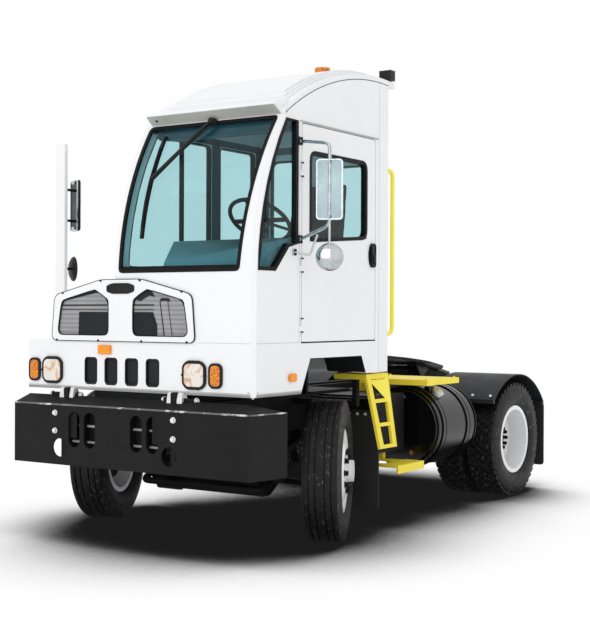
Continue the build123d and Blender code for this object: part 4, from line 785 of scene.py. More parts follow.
@dataclass
class BoltField:
    """Bolt heads on washers, set on points by Geometry Nodes, each along its own way."""

    name: str
    body: str
    slot: str
    finish: Finish
    places: Sequence[tuple[Vector, Vector]]
    head_mm: float = 12.0
    rise_mm: float = 8.0
    washer_mm: float = 17.0
    sides: int = 6

    def tree(self) -> Tree:
        """Makes the node tree with its named sizes."""
        tree = bpy.data.node_groups.new(self.name + "_nodes", "GeometryNodeTree")
        sockets(tree, {"Head radius": "Float", "Rise": "Float", "Washer radius": "Float"})
        given = add_node(tree, "NodeGroupInput").outputs
        thin = add_node(tree, "ShaderNodeMath", {"operation": "MULTIPLY"}, {0: given["Rise"], 1: 0.3})
        washer = add_node(tree, "GeometryNodeMeshCylinder", inputs={
            "Vertices": 20, "Radius": given["Washer radius"], "Depth": thin.outputs["Value"]})
        head = add_node(tree, "GeometryNodeMeshCylinder", inputs={
            "Vertices": self.sides, "Radius": given["Head radius"], "Depth": given["Rise"]})
        lifted = add_node(tree, "ShaderNodeMath", {"operation": "MULTIPLY"}, {0: given["Rise"], 1: 0.62})
        offset = add_node(tree, "ShaderNodeCombineXYZ", inputs={"Z": lifted.outputs["Value"]})
        raised = add_node(tree, "GeometryNodeTransform", inputs={
            "Geometry": head.outputs["Mesh"], "Translation": offset.outputs["Vector"]})
        bolt = add_node(tree, "GeometryNodeJoinGeometry")
        tree.links.new(washer.outputs["Mesh"], bolt.inputs["Geometry"])
        tree.links.new(raised.outputs["Geometry"], bolt.inputs["Geometry"])
        aim = add_node(tree, "GeometryNodeInputNamedAttribute", {"data_type": "FLOAT_VECTOR"}, {"Name": "aim"})
        turn = add_node(tree, "FunctionNodeAlignRotationToVector", {"axis": "Z"}, {
            "Vector": aim.outputs["Attribute"]})
        points = add_node(tree, "GeometryNodeMeshToPoints", inputs={"Mesh": given["Geometry"]})
        set_out = add_node(tree, "GeometryNodeInstanceOnPoints", inputs={
            "Points": points.outputs["Points"], "Instance": bolt.outputs["Geometry"],
            "Rotation": turn.outputs["Rotation"]})
        real = add_node(tree, "GeometryNodeRealizeInstances", inputs={"Geometry": set_out.outputs["Instances"]})
        dressed = add_node(tree, "GeometryNodeSetMaterial", inputs={
            "Geometry": real.outputs["Geometry"], "Material": self.finish.material()})
        add_node(tree, "NodeGroupOutput", inputs={"Geometry": dressed.outputs["Geometry"]})
        return tree

    def build(self) -> bpy.types.Object:
        """Sets out the bolts and makes them one plain piece."""
        seed = bpy.data.meshes.new(self.name + "_points")
        seed.from_pydata([p for p, _ in self.places], [], [])
        aim = seed.attributes.new("aim", "FLOAT_VECTOR", "POINT")
        for i, (_, way) in enumerate(self.places):
            aim.data[i].vector = way
        sizes = {"Head radius": self.head_mm / 1000, "Rise": self.rise_mm / 1000,
                 "Washer radius": self.washer_mm / 1000}
        mesh = evaluate_nodes(seed, self.tree(), sizes)
        return finish_piece(self.name, mesh, self.finish, self.body)


def evaluate_nodes(seed: Mesh, tree: Tree, sizes: Mapping) -> Mesh:
    """Runs a node tree on a mesh and gives the plain result.

    Args:
        seed: What the tree starts from.
        tree: The Geometry Nodes tree.
        sizes: Input name to value.

    Returns:
        The evaluated mesh.
    """
    holder = bpy.data.objects.new(seed.name, seed)
    bpy.context.scene.collection.objects.link(holder)
    modifier = holder.modifiers.new("nodes", "NODES")
    modifier.node_group = tree
    for item in tree.interface.items_tree:
        if item.in_out == "INPUT" and item.name in sizes:
            modifier[item.identifier] = sizes[item.name]
    bpy.context.view_layer.update()
    seen = holder.evaluated_get(bpy.context.evaluated_depsgraph_get())
    mesh = bpy.data.meshes.new_from_object(seen)
    holder.modifiers.remove(modifier)
    bpy.data.objects.remove(holder)
    return mesh


@dataclass
class TreadBlocks:
    """Tread blocks set round a tyre in rows by Geometry Nodes."""

    name: str
    finish: Finish
    radius_mm: float
    rows: Sequence[tuple[float, float, float, float]]
    count: int
    rise_mm: float

    def tree(self) -> Tree:
        """Makes the tree. Each row has its place across, width, skew and shift round the tyre."""
        tree = bpy.data.node_groups.new(self.name + "_nodes", "GeometryNodeTree")
        sockets(tree, {"Radius": "Float", "Rise": "Float", "Length": "Float", "Count": "Int"})
        given = add_node(tree, "NodeGroupInput").outputs
        joined = add_node(tree, "GeometryNodeJoinGeometry")
        for across, width, skew, shift in self.rows:
            size = add_node(tree, "ShaderNodeCombineXYZ", inputs={
                "X": given["Rise"], "Y": given["Length"], "Z": width / 1000})
            block = add_node(tree, "GeometryNodeMeshCube", inputs={"Size": size.outputs["Vector"]})
            skewed = add_node(tree, "GeometryNodeTransform", inputs={
                "Geometry": block.outputs["Mesh"], "Rotation": (math.radians(skew), 0.0, 0.0)})
            ring = add_node(tree, "GeometryNodeMeshCircle", inputs={
                "Vertices": given["Count"], "Radius": given["Radius"]})
            points = add_node(tree, "GeometryNodeMeshToPoints", inputs={"Mesh": ring.outputs["Mesh"]})
            where = add_node(tree, "GeometryNodeInputPosition")
            turn = add_node(tree, "FunctionNodeAlignRotationToVector", {"axis": "X", "pivot_axis": "Z"}, {
                "Vector": where.outputs["Position"]})
            set_out = add_node(tree, "GeometryNodeInstanceOnPoints", inputs={
                "Points": points.outputs["Points"], "Instance": skewed.outputs["Geometry"],
                "Rotation": turn.outputs["Rotation"]})
            real = add_node(tree, "GeometryNodeRealizeInstances", inputs={
                "Geometry": set_out.outputs["Instances"]})
            placed = add_node(tree, "GeometryNodeTransform", inputs={
                "Geometry": real.outputs["Geometry"], "Translation": (0.0, 0.0, across / 1000),
                "Rotation": (0.0, 0.0, shift * 2 * math.pi / self.count)})
            tree.links.new(placed.outputs["Geometry"], joined.inputs["Geometry"])
        dressed = add_node(tree, "GeometryNodeSetMaterial", inputs={
            "Geometry": joined.outputs["Geometry"], "Material": self.finish.material()})
        add_node(tree, "NodeGroupOutput", inputs={"Geometry": dressed.outputs["Geometry"]})
        return tree

    def mesh(self, length_mm: float) -> Mesh:
        """Gives the blocks about Z as one mesh."""
        seed = bpy.data.meshes.new(self.name)
        sizes = {"Radius": (self.radius_mm - self.rise_mm / 2) / 1000, "Rise": self.rise_mm / 1000,
                 "Length": length_mm / 1000, "Count": self.count}
        return evaluate_nodes(seed, self.tree(), sizes)


# Wheels


@dataclass
class WheelSet:
    """Tyres, wheel nuts and hub details."""

    radius: float = AXLE_HEIGHT
    width: float = 279.0
    bead: float = 98.0
    bead_radius: float = 289.0
    kingpin_x: float = 890.0
    offset: float = 130.0
    rear_outer: float = 1079.5
    twin: float = 330.0
    steer: Mapping = field(default_factory=lambda: {Side.LEFT: 25.0, Side.RIGHT: 20.0})
    nuts: int = 10
    nut_circle: float = 142.9
    front_face: float = 130.5
    flange_x: float = 1009.5
    flange_circle: float = 88.0
    groove_x: Sequence[float] = (78.0, 32.0)
    lug_rows: Sequence[tuple[float, float, float, float]] = (
        (102, 34, 8, 0.0), (62, 34, -24, 0.45), (21, 34, 24, 0.1), (-21, 34, 24, 0.6), (-62, 34, -24, 0.05),
        (-102, 34, 8, 0.5))
    sipe_rows: Sequence[tuple[float, float, float, float]] = ((96, 6, 0, 0.0), (-96, 6, 0, 0.5))

    def front_axis(self, side: Side) -> tuple[Vector, Vector]:
        """Places a front wheel.

        Args:
            side: Which wheel.

        Returns:
            The wheel's middle and its outward axis.
        """
        turn = math.radians(self.steer[side])
        out = Vector((math.cos(turn), math.sin(turn), 0)) * side.value
        pin = at(side.value * self.kingpin_x, -WHEELBASE, self.radius)
        return pin + out * self.offset / 1000, out

    def section(self, tread: Tread) -> list[Point]:
        """Section of a tyre, along its axis and by radius."""
        half = self.width / 2
        crown = self.radius - (14 if tread is Tread.LUG else 0)
        right = [(self.bead, self.bead_radius), (self.bead, 306), (half * 0.80, 311), (half * 0.86, 318),
                 (half * 0.90, 330), (half * 0.965, 352), (half * 0.995, 378), (half, 395), (half * 0.992, 418),
                 (half * 0.965, 446), (half * 0.935, 466), (half * 0.90, 482), (half * 0.86, crown - 6),
                 (half * 0.80, crown - 1)]
        if tread is Tread.LUG:
            face = [(half * 0.5, crown), (0, crown + 1)]
        else:
            face = []
            for middle in self.groove_x:
                face += [(middle + 6, crown), (middle + 4, crown - 13), (middle - 4, crown - 13), (middle - 6, crown)]
            face.append((0, crown + 0.5))
        right += face
        left = [(-a, r) for a, r in reversed(right[:-1])]
        return right + left

    def tyre(self, work: Shape, centre: Vector, axis: Vector, tread: Tread) -> None:
        """Makes one tyre with its blocks or, on a ribbed tyre, its sipes."""
        lathe(work, self.section(tread), centre, axis, 96)
        if tread is Tread.LUG:
            mesh = TreadBlocks("tread_blocks", Finishes.TYRE, self.radius, self.lug_rows, 46, 20).mesh(46)
        else:
            mesh = TreadBlocks("rib_sipes", Finishes.TYRE, self.radius + 0.6, self.sipe_rows, 120, 6).mesh(14)
        mesh.transform(Matrix.Translation(centre) @ frame_along(axis))
        work.from_mesh(mesh)
        bpy.data.meshes.remove(mesh)

    def nut_places(self, face: Vector, axis: Vector, circle: float) -> list[tuple[Vector, Vector]]:
        """Places of the nuts round a hub's face, on a circle of the given radius."""
        turn = frame_along(axis)
        ring = []
        for i in range(self.nuts):
            a = 2 * math.pi * i / self.nuts
            away = Vector((math.cos(a), math.sin(a), 0)) * circle / 1000
            ring.append((face + turn @ away, axis))
        return ring

    def build(self) -> None:
        """Makes every tyre, nut and axle flange."""
        for side in Side:
            name = side.name.lower()
            centre, out = self.front_axis(side)
            work = bmesh.new()
            self.tyre(work, centre, out, Tread.RIB)
            body = f"wheel_front_{name}"
            finish_piece(f"ribbed_tyre_{name}", work, Finishes.TYRE, body,
                         [f"front_tyre_{name}"])
            ring = self.nut_places(centre + out * (self.front_face / 1000), out, self.nut_circle)
            BoltField(f"front_nuts_{name}", body, "dark_metal", Finishes.CHASSIS, ring, 19, 26, 24).build()
            work = bmesh.new()
            sign = side.value
            axis = Vector((sign, 0, 0))
            for x in (self.rear_outer, self.rear_outer - self.twin):
                self.tyre(work, at(sign * x, 0, self.radius), axis, Tread.LUG)
            body = f"wheels_rear_{name}"
            finish_piece(f"lugged_tyres_{name}", work, Finishes.TYRE, body,
                         [f"rear_tyres_{name}"])
            face = at(sign * (self.rear_outer - self.twin / 2 + 14.5), 0, self.radius)
            ring = self.nut_places(face, axis, self.nut_circle)
            BoltField(f"rear_nuts_{name}", body, "dark_metal", Finishes.CHASSIS, ring, 19, 42, 24).build()
            work = bmesh.new()
            hub = at(sign * self.flange_x, 0, self.radius)
            lathe(work, [(-4, 0), (-4, 106), (14, 106), (22, 98), (40, 70), (46, 64), (46, 0)], hub, axis,
                  48, False)
            finish_piece(f"axle_flange_{name}", work, Finishes.CHASSIS, body)
            ring = self.nut_places(hub + axis * 0.016, axis, self.flange_circle)
            BoltField(f"flange_nuts_{name}", body, "dark_metal", Finishes.BLACK, ring, 16, 50, 22).build()


# Cab


@dataclass
class CabShell:
    """Seals, joints and fittings on the cab's outside."""

    left: float = 1129.0
    right: float = -60.0
    front: float = CAB_FRONT
    rear: float = -2247.0
    bend_z: float = 1872.0
    bend: float = 2000.0
    handle_z: Sequence[float] = (2735.0, 1492.0)
    lamp: Point = (600.0, -2350.0)
    screen: Sequence[Point] = ((-24.0, 1921.0), (1007.0, 1921.0), (1091.0, 2964.0), (-8.0, 2964.0))
    door_window: Sequence[Point] = ((-3340.0, 2138.0), (-2565.0, 2193.0), (-2565.0, 2760.0), (-3340.0, 2760.0))
    hinges: Sequence[float] = (1582.0, 1990.0, 2640.0)

    def screen_at(self, z: float, inset: float = 0.0) -> tuple[float, Vector]:
        """Finds the bent front wall at a height.

        Args:
            z: Height above the ground.
            inset: How far inside the outer face.

        Returns:
            The Y there and the outward way.
        """
        rise = max(0.0, z - self.bend_z)
        radius = self.bend - inset
        run = math.sqrt(max(radius * radius - rise * rise, 0.0))
        y = self.front + self.bend - run
        return y, Vector((0, -run, rise)).normalized()

    def on_screen(self, outline: Sequence[Point]) -> tuple[list[Vector], list[Vector]]:
        """Lays an outline on the bent front.

        Args:
            outline: X and Z points, closed.

        Returns:
            Dense points and the outward ways there.
        """
        path, normals = [], []
        for i, (x, z) in enumerate(outline):
            nx, nz = outline[(i + 1) % len(outline)]
            steps = max(1, int(abs(nz - z) / 60))
            for k in range(steps):
                zz = z + (nz - z) * k / steps
                y, n = self.screen_at(zz)
                path.append(at(x + (nx - x) * k / steps, y, zz))
                normals.append(n)
        return path, normals

    def windscreen_seal(self) -> None:
        """Rubber seal round the windscreen, with a deeper band along its foot."""
        path, normals = self.on_screen(rounded_polygon(self.screen, 34))
        work = bmesh.new()
        edge_strip(work, path, normals, 23, 4, 13, 3)
        path, normals = self.on_screen(((0.0, 1930.0), (985.0, 1930.0), (987.0, 1962.0), (0.0, 1962.0)))
        slab(work, [p - n * 0.004 for p, n in zip(path, normals)], Vector((0, 0.008, 0)))
        finish_piece("windscreen_seal", work, Finishes.SEAL, "cab")

    def flat_seal(self, name: str, outline: Sequence[Point], body: str, inward: float, outward: float,
                  deep: float) -> None:
        """Rubber seal round a window in the left side."""
        path = [at(self.left, y, z) for y, z in outline]
        work = bmesh.new()
        edge_strip(work, path, LEFTWARD, inward, outward, deep, 3)
        finish_piece(name, work, Finishes.SEAL, body)

    def side_seals(self) -> None:
        """Seals of the quarter window and the door's window."""
        self.flat_seal("door_window_seal", rounded_polygon(self.door_window, 70), "side_door", 20, 6, 44)
        quarter = [(-3490.0, 2950.0), (-3490.0, 2116.0), (-3600.0, 2091.0), (-3757.0, 1927.0)]
        low = [(self.screen_at(z, 40)[0], z) for z in (1927.0, 2050.0, 2200.0, 2350.0, 2500.0, 2650.0, 2800.0, 2950.0)]
        self.flat_seal("quarter_window_seal", list(reversed(quarter + low)), "cab", 26, 4, 38)

    def right_seals(self) -> None:
        """Seals of the right windows and a thin bar across the front one."""
        low, high = 1960.0, 2920.0
        front = [(self.screen_at(z, 95)[0], z) for z in (low, 2100.0, 2300.0, 2500.0, 2700.0, high)]
        windows = [rounded_polygon(front + [(-2948.0, high), (-2948.0, low)], 40),
                   rounded_outline((-2838.0, -2372.0), (low, high), 40)]
        work = bmesh.new()
        for outline in windows:
            path = [at(self.right, y, z) for y, z in outline]
            edge_strip(work, path, Vector((-1, 0, 0)), 12, 12, 38, 3)
        block(work, (self.right + 4, self.right + 36), (-3297, -3275), (low, high))
        finish_piece("right_window_seals", work, Finishes.SEAL, "cab")

    def rear_seals(self) -> None:
        """Seals of the rear window and of the window in the sliding door."""
        for name, x, z, y, body in (("rear_window_seal", (60, 370), (2010, 2860), self.rear, "cab"),
                                    ("rear_door_seal", (500, 960), (2010, 2790), self.rear + 36, "rear_door")):
            path = [at(u, y, v) for u, v in reversed(rounded_outline(x, z, 60))]
            work = bmesh.new()
            edge_strip(work, path, REARWARD, 16, 8, 24, 3)
            finish_piece(name, work, Finishes.SEAL, body)

    def joints(self) -> None:
        """Lines where the panels meet."""
        pale, dark, drip = bmesh.new(), bmesh.new(), bmesh.new()
        x = self.left
        fine = (2, 2, 1, 0.8, False)
        edge_strip(pale, [at(x, y, PANEL_SEAM) for y in (-3968, -3460)], LEFTWARD, *fine)
        edge_strip(pale, [at(u, self.front, PANEL_SEAM) for u in (668, 1100)], FORWARD, *fine)
        edge_strip(pale, [at(x, -2383, z) for z in (1210, 3370)], LEFTWARD, *fine)
        edge_strip(pale, [at(x, -3468, z) for z in (1450, 2940)], LEFTWARD, *fine)
        arc = arc_points(*ROOF_ARC, (-3640.0, self.rear), 26)
        edge_strip(dark, [at(x, y, z) for y, z in arc], LEFTWARD, 2.5, 2.5, 1, 1.0, False)
        edge_strip(drip, [at(x, y, 2951) for y in (-3468, -2398)], LEFTWARD, 4, 4, 1, 6, False)
        edge_strip(dark, [at(x, y, 1444) for y in (-3444, -2436)], LEFTWARD, 4, 4, 1, 0.8, False)
        finish_piece("drip_rail", drip, Finishes.VISOR, "cab")
        finish_piece("pale_panel_joints", pale, Finishes.SEAM, "cab")
        finish_piece("dark_panel_joints", dark, Finishes.JOINT, "cab")

    def fittings(self) -> None:
        """Hinge pins, roof bolts, handle ends and the door handle's recess."""
        pins = [(at(self.left + 10, -3445, z + d), UPWARD * s) for z in self.hinges for d, s in ((23, 1), (-61, -1))]
        BoltField("hinge_pin_heads", "cab", "black_paint", Finishes.BLACK, pins, 8, 8, 10, 12).build()
        roof = [(at(x, y, z), UPWARD) for y, z in ((-3560, 3075), (-2420, 3419)) for x in (30, 1040)]
        BoltField("roof_bolts", "cab", "mirror_chrome", Finishes.ZINC, roof, 10, 12, 14).build()
        ends = [(at(1109 + dx, self.rear, z), REARWARD) for z in self.handle_z for dx in (-12, 12)]
        BoltField("handle_bolts", "cab", "yellow_paint", Finishes.YELLOW_TUBE, ends, 9, 10, 13).build()
        work = bmesh.new()
        for z in self.handle_z:
            block(work, (1084, 1128), (self.rear, self.rear + 8), (z - 34, z + 34))
        finish_piece("handle_feet", work, Finishes.YELLOW_TUBE, "cab", bevel_mm=2)
        work = bmesh.new()
        oval = [(-2491 + 51 * math.cos(math.radians(a)), 2075 + 91 * math.sin(math.radians(a)))
                for a in range(0, 360, 8)]
        side_plate(work, oval, self.left - 1, 5)
        cup = rounded_outline((-2517, -2461), (1987, 2163), 27)
        edge_strip(work, [at(self.left + 18, y, z) for y, z in cup], LEFTWARD, 9, 2, 4, 5)
        side_plate(work, rounded_outline((-2501, -2477), (2010, 2085), 11), self.left + 18, 9)
        finish_piece("handle_lever", work, Finishes.PLASTIC, "side_door", bevel_mm=2)

    def beacon(self) -> None:
        """Amber beacon on its black foot, and the work lamp's glass."""
        work = bmesh.new()
        lathe(work, [(0, 0), (0, 62), (14, 62), (18, 57), (18, 0)], at(*self.lamp, 3461), UPWARD, 48, False)
        finish_piece("beacon_foot", work, Finishes.PLASTIC, "cab")
        work = bmesh.new()
        rings = [(16, 0), (16, 56)]
        for k in range(5):
            z = 18 + 11 * k
            rings += [(z, 57), (z + 5.5, 54.5)]
        rings += [(72, 54), (79, 47), (83, 30), (84, 0)]
        lathe(work, rings, at(*self.lamp, 3460), UPWARD, 48, False)
        finish_piece("beacon_dome", work, Finishes.AMBER, "cab")
        work = bmesh.new()
        front_plate(work, rounded_outline((1052, 1136), (3426, 3488), 10), -2171, 6)
        finish_piece("work_lamp_glass", work, Finishes.CLEAR, "cab", bevel_mm=2)

    def visor(self) -> None:
        """Shaded underside of the brow with a clip at its right end."""
        work = bmesh.new()
        low, high = (-3662.0, 2981.0), (-3728.0, 3033.0)
        ends = [at(-8, *low), at(1102, *low), at(1088, *high), at(-6, *high)]
        slab(work, ends, Vector((0, -0.0018, -0.0024)))
        finish_piece("visor_underside", work, Finishes.VISOR, "cab")
        work = bmesh.new()
        lathe(work, [(0, 0), (0, 9), (5, 9), (7, 6), (7, 0)], at(62, -3697, 3005), Vector((0, -0.6, -0.8)), 20, False)
        finish_piece("visor_clip", work, Finishes.BLACK, "cab")

    def arch_liner(self) -> None:
        """Black liner inside the wheel arch."""
        arch = [(-3443.0, 1098.0), (-3327.0, 1333.0), (-2633.0, 1333.0), (-2568.0, 1212.0)]
        path = [at(self.left - 2, y, z) for y, z in arch]
        work = bmesh.new()
        edge_strip(work, path, LEFTWARD, 4, 4, 330, 1, False)
        finish_piece("arch_liner", work, Finishes.CHASSIS, "cab")

    def wiper_arm(self) -> None:
        """Second rod of the wiper's arm, its pivot cap and its blade carrier."""
        work = bmesh.new()
        ends = [(560.0, 2936.0), (364.0, 2735.0), (172.0, 2532.0)]
        tube_into(work, [at(x, self.screen_at(z)[0] - 26, z) for x, z in ends], 5, 30, 10)
        y, n = self.screen_at(2960.0)
        lathe(work, [(0, 0), (0, 20), (22, 18), (28, 10), (28, 0)], at(570, y, 2955), n, 20, False)
        blade = [(166.0, 2230.0), (163.0, 2400.0), (163.0, 2560.0), (166.0, 2800.0)]
        tube_into(work, [at(x, self.screen_at(z)[0] - 22, z) for x, z in blade], 4, 60, 8)
        finish_piece("wiper_rods", work, Finishes.PLASTIC, "cab")

    def build(self) -> None:
        """Makes the cab's outside fittings."""
        self.arch_liner()
        self.wiper_arm()
        self.windscreen_seal()
        self.side_seals()
        self.right_seals()
        self.rear_seals()
        self.joints()
        self.fittings()
        self.beacon()
        self.visor()


@dataclass
class FrontEnd:
    """Grille trim, lamps, painted shade on the lower edge and cab hinges."""

    front: float = CAB_FRONT
    proud: float = 10.0
    foot: float = 651.0
    shoulder: Point = (624.0, 1766.0)
    crown: Point = (185.0, 1872.0)
    opening: Sequence[Point] = ((109.0, 1483.0), (600.0, 1483.0), (560.0, 1731.0), (236.0, 1808.0), (109.0, 1735.0))
    lamp_z: float = 1230.0
    slots: Sequence[float] = (-282.0, -94.0, 94.0, 282.0)

    def ring(self, work: Shape, outline: Sequence[Point], y: float, inward: float, outward: float,
             deep: float, proud: float) -> None:
        """Frame that faces forward along an outline."""
        path = [at(x, y, z) for x, z in outline]
        edge_strip(work, path, FORWARD, inward, outward, deep, proud)

    def mirrored(self, points: Sequence[Point], side: Side) -> list[Point]:
        """Outline on one side, kept in the same turning sense."""
        if side is Side.LEFT:
            return list(points)
        return [(-x, z) for x, z in reversed(points)]

    def grille(self) -> None:
        """Joint round the surround, clips, and the trim and sheets in its openings, with painted shadows as dark sheet
        under the openings' top edges and beside the duct.
        """
        face = self.front - self.proud
        half = [(self.foot, PANEL_SEAM), self.shoulder, self.crown]
        outline = half + [(-x, z) for x, z in reversed(half)]
        work = bmesh.new()
        self.ring(work, rounded_polygon(outline, 46), face, 0, 5, 12, 1)
        finish_piece("grille_joint", work, Finishes.JOINT, "cab")
        clips = [(-546, 1783), (-183, 1866), (174, 1866), (539, 1787), (586, 1447), (190, 1447), (-205, 1447),
                 (-602, 1447)]
        places = [(at(x, face, z), FORWARD) for x, z in clips]
        BoltField("grille_clips", "cab", "black_plastic", Finishes.PLASTIC, places, 6, 7, 9, 8).build()
        trim, sheet, mesh, duct = bmesh.new(), bmesh.new(), bmesh.new(), bmesh.new()
        for side in Side:
            opening = self.mirrored(self.opening, side)
            self.ring(trim, rounded_polygon(opening, 60), face, 5, 1, 10, 1.5)
            front_plate(sheet, rounded_polygon(opening, 56), self.front + 1, 3)
        front_plate(mesh, [(112, 1486), (322, 1486), (322, 1560), (285, 1648), (112, 1648)], self.front - 3, 3)
        front_plate(mesh, [(-400, 1486), (-112, 1486), (-112, 1648), (-394, 1648)], self.front - 3, 3)
        # Painted shadow under the top edge of the left opening, as a dark sliver
        front_plate(mesh, [(125, 1740), (232, 1800), (278, 1786), (300, 1752), (252, 1762), (170, 1722)],
                    self.front - 3, 3)
        # Painted shadow under the top edge of the right opening, as a dark sliver
        front_plate(mesh, [(-560, 1722), (-555, 1738), (-236, 1806), (-180, 1776), (-236, 1782)], self.front - 3, 3)
        for outline in ([(112, 1692), (292, 1692), (292, 1701), (112, 1701)],
                        [(-570, 1690), (-112, 1692), (-112, 1701), (-568, 1699)],
                        [(112, 1664), (290, 1664), (290, 1668), (112, 1668)],
                        [(-574, 1664), (-112, 1664), (-112, 1668), (-574, 1668)]):
            front_plate(mesh, outline, self.front - 3, 3)
        front_plate(duct, [(392, 1486), (455, 1486), (415, 1725), (352, 1725)], self.front - 5, 5)
        front_plate(mesh, [(346, 1716), (358, 1744), (424, 1742), (432, 1720), (408, 1728), (362, 1728)],
                    self.front - 6, 6)
        # Painted shadow beside the duct's ridge, as a thin dark strip
        front_plate(mesh, [(383, 1486), (393, 1486), (355, 1724), (346, 1724)], self.front - 5, 5)
        finish_piece("grille_opening_trim", trim, Finishes.SEAL, "cab")
        finish_piece("grille_sheets", sheet, Finishes.GREY_SHEET, "cab")
        finish_piece("grille_screens_and_painted_shadows", mesh, Finishes.DARK_MESH, "cab")
        finish_piece("grille_duct", duct, Finishes.GREY_SHEET, "cab", bevel_mm=5)

    def plaque(self) -> None:
        """Plain plaque above the grille, with a raised rim."""
        face = self.front - self.proud
        outline = rounded_polygon([(-126, 1790), (-70, 1774), (70, 1774), (126, 1790), (126, 1832), (70, 1848),
                                   (-70, 1848), (-126, 1832)], 16)
        work = bmesh.new()
        front_plate(work, outline, face - 3, 3)
        self.ring(work, outline, face - 3, 6, 0, 2, 2.5)
        finish_piece("plain_plaque", work, Finishes.PLASTIC, "cab")

    def lamps(self) -> None:
        """Headlamps with bezels and screws, turn lamps with rims, and air slots with rims."""
        black, glass, amber, slot, marker = (bmesh.new() for _ in range(5))
        screws = []
        for side in Side:
            x = side.value * 647
            bezel = rounded_polygon([(x - 97, 1172), (x - 64, 1138), (x + 64, 1138), (x + 97, 1172), (x + 97, 1288),
                                     (x + 64, 1322), (x - 64, 1322), (x - 97, 1288)], 16)
            self.ring(black, bezel, self.front - 12, 17, 2, 10, 3)
            for z in (1142, 1318):
                front_plate(black, rounded_outline((x - 52, x + 52), (z - 10, z + 10), 8), self.front - 16, 8)
            dome = rounded_polygon([(x - 84, 1174), (x - 58, 1150), (x + 58, 1150), (x + 84, 1174), (x + 84, 1286),
                                    (x + 58, 1310), (x - 58, 1310), (x - 84, 1286)], 18)
            front_plate(glass, dome, self.front - 17, 8)
            screws += [(at(x + d, self.front - 14, self.lamp_z), FORWARD) for d in (-97, 97)]
            x = side.value * 824
            rim = rounded_outline((x - 54, x + 54), (1148, 1312), 40)
            self.ring(black, rim, self.front - 10, 14, 2, 10, 5)
            front_plate(amber, rounded_outline((x - 42, x + 42), (1160, 1300), 28), self.front - 15, 8)
        for x in self.slots:
            rim = rounded_outline((x - 58, x + 58), (1144, 1328), 26)
            self.ring(black, rim, self.front, 8, 2, 30, 2)
            front_plate(slot, rounded_outline((x - 52, x + 52), (1150, 1322), 22), self.front + 13, 4)
        front_plate(marker, rounded_outline((-206, -88), (1353, 1416), 7), self.front - 18, 17)
        side_plate(marker, rounded_outline((-3600, -3516), (1184, 1238), 14), 1130, 18)
        finish_piece("lamp_bezels", black, Finishes.PLASTIC, "cab", bevel_mm=1)
        finish_piece("headlamp_glasses", glass, Finishes.CLEAR, "cab", bevel_mm=5)
        finish_piece("amber_glasses", amber, Finishes.AMBER, "cab", bevel_mm=3)
        finish_piece("marker_lamps", marker, Finishes.AMBER_PLAIN, "cab", bevel_mm=4)
        finish_piece("slot_screens", slot, Finishes.DARK_MESH, "cab")
        BoltField("bezel_screws", "cab", "black_plastic", Finishes.PLASTIC, screws, 5, 6, 8, 8).build()

    def lower_edge(self) -> None:
        """Painted shade along the rounded lower edge of the front and left panels, a grey strip with a paler line,
        with a corner piece.
        """
        work, pale = bmesh.new(), bmesh.new()
        # The grey and paler strips and the corner piece are painted shade where the white panels curve under
        block(work, (-888, 1102), (self.front - 4, self.front + 2), (1097, 1113))
        block(pale, (-888, 1102), (self.front - 4, self.front + 2), (1113, 1122))
        block(work, (1127, 1133), (-3970, -3447), (1097, 1112))
        block(pale, (1127, 1133), (-3970, -3444), (1112, 1120))
        corner = [(1085, self.front - 8, 1135), (1136, -3952, 1135), (1136, -3957, 1118), (1112, -3980, 1084),
                  (1088, self.front - 6, 1112)]
        slab(pale, [at(*c) for c in corner], Vector((-0.006, 0.006, 0)))
        finish_piece("lower_edge_painted_shade", work, Finishes.LIP_SHADE_AND_BAR_GREY, "cab", bevel_mm=1)
        finish_piece("lower_edge_painted_half_shade", pale, Finishes.LIP_HALF_SHADE, "cab", bevel_mm=1)

    def hinge_irons(self) -> None:
        """Cab hinge straps, pins and nuts below the front panel."""
        strap, iron = bmesh.new(), bmesh.new()
        pins = []
        hook = rounded_polygon([(-4010, 1112), (-3972, 1112), (-3958, 1062), (-3968, 1012), (-4004, 1006),
                                (-4026, 1036), (-4020, 1076)], 22)
        for side in Side:
            s = side.value
            for x, wide in ((446, 36), (536, 44)):
                side_plate(strap, hook, s * x - wide / 2, wide)
            side_plate(iron, rounded_polygon([(-4030, 1108), (-3964, 1112), (-3956, 1002), (-4026, 998)], 14),
                       s * 489 - 24, 48)
            lathe(iron, [(-138, 0), (-138, 13), (138, 13), (138, 0)], at(s * 520, -3990, 1060), LEFTWARD, 20,
                  False)
            pins += [(at(s * 520 + d, -3990, 1060), Vector((d, 0, 0)).normalized()) for d in (-136, 136)]
        finish_piece("hinge_straps", strap, Finishes.ZINC, "cab", bevel_mm=2)
        finish_piece("hinge_irons", iron, Finishes.CHASSIS, "cab", bevel_mm=2)
        BoltField("hinge_nuts", "cab", "plate_steel", Finishes.ZINC, pins, 14, 16, 20).build()

    def build(self) -> None:
        """Makes the front's fittings."""
        self.grille()
        self.plaque()
        self.lamps()
        self.lower_edge()
        self.hinge_irons()


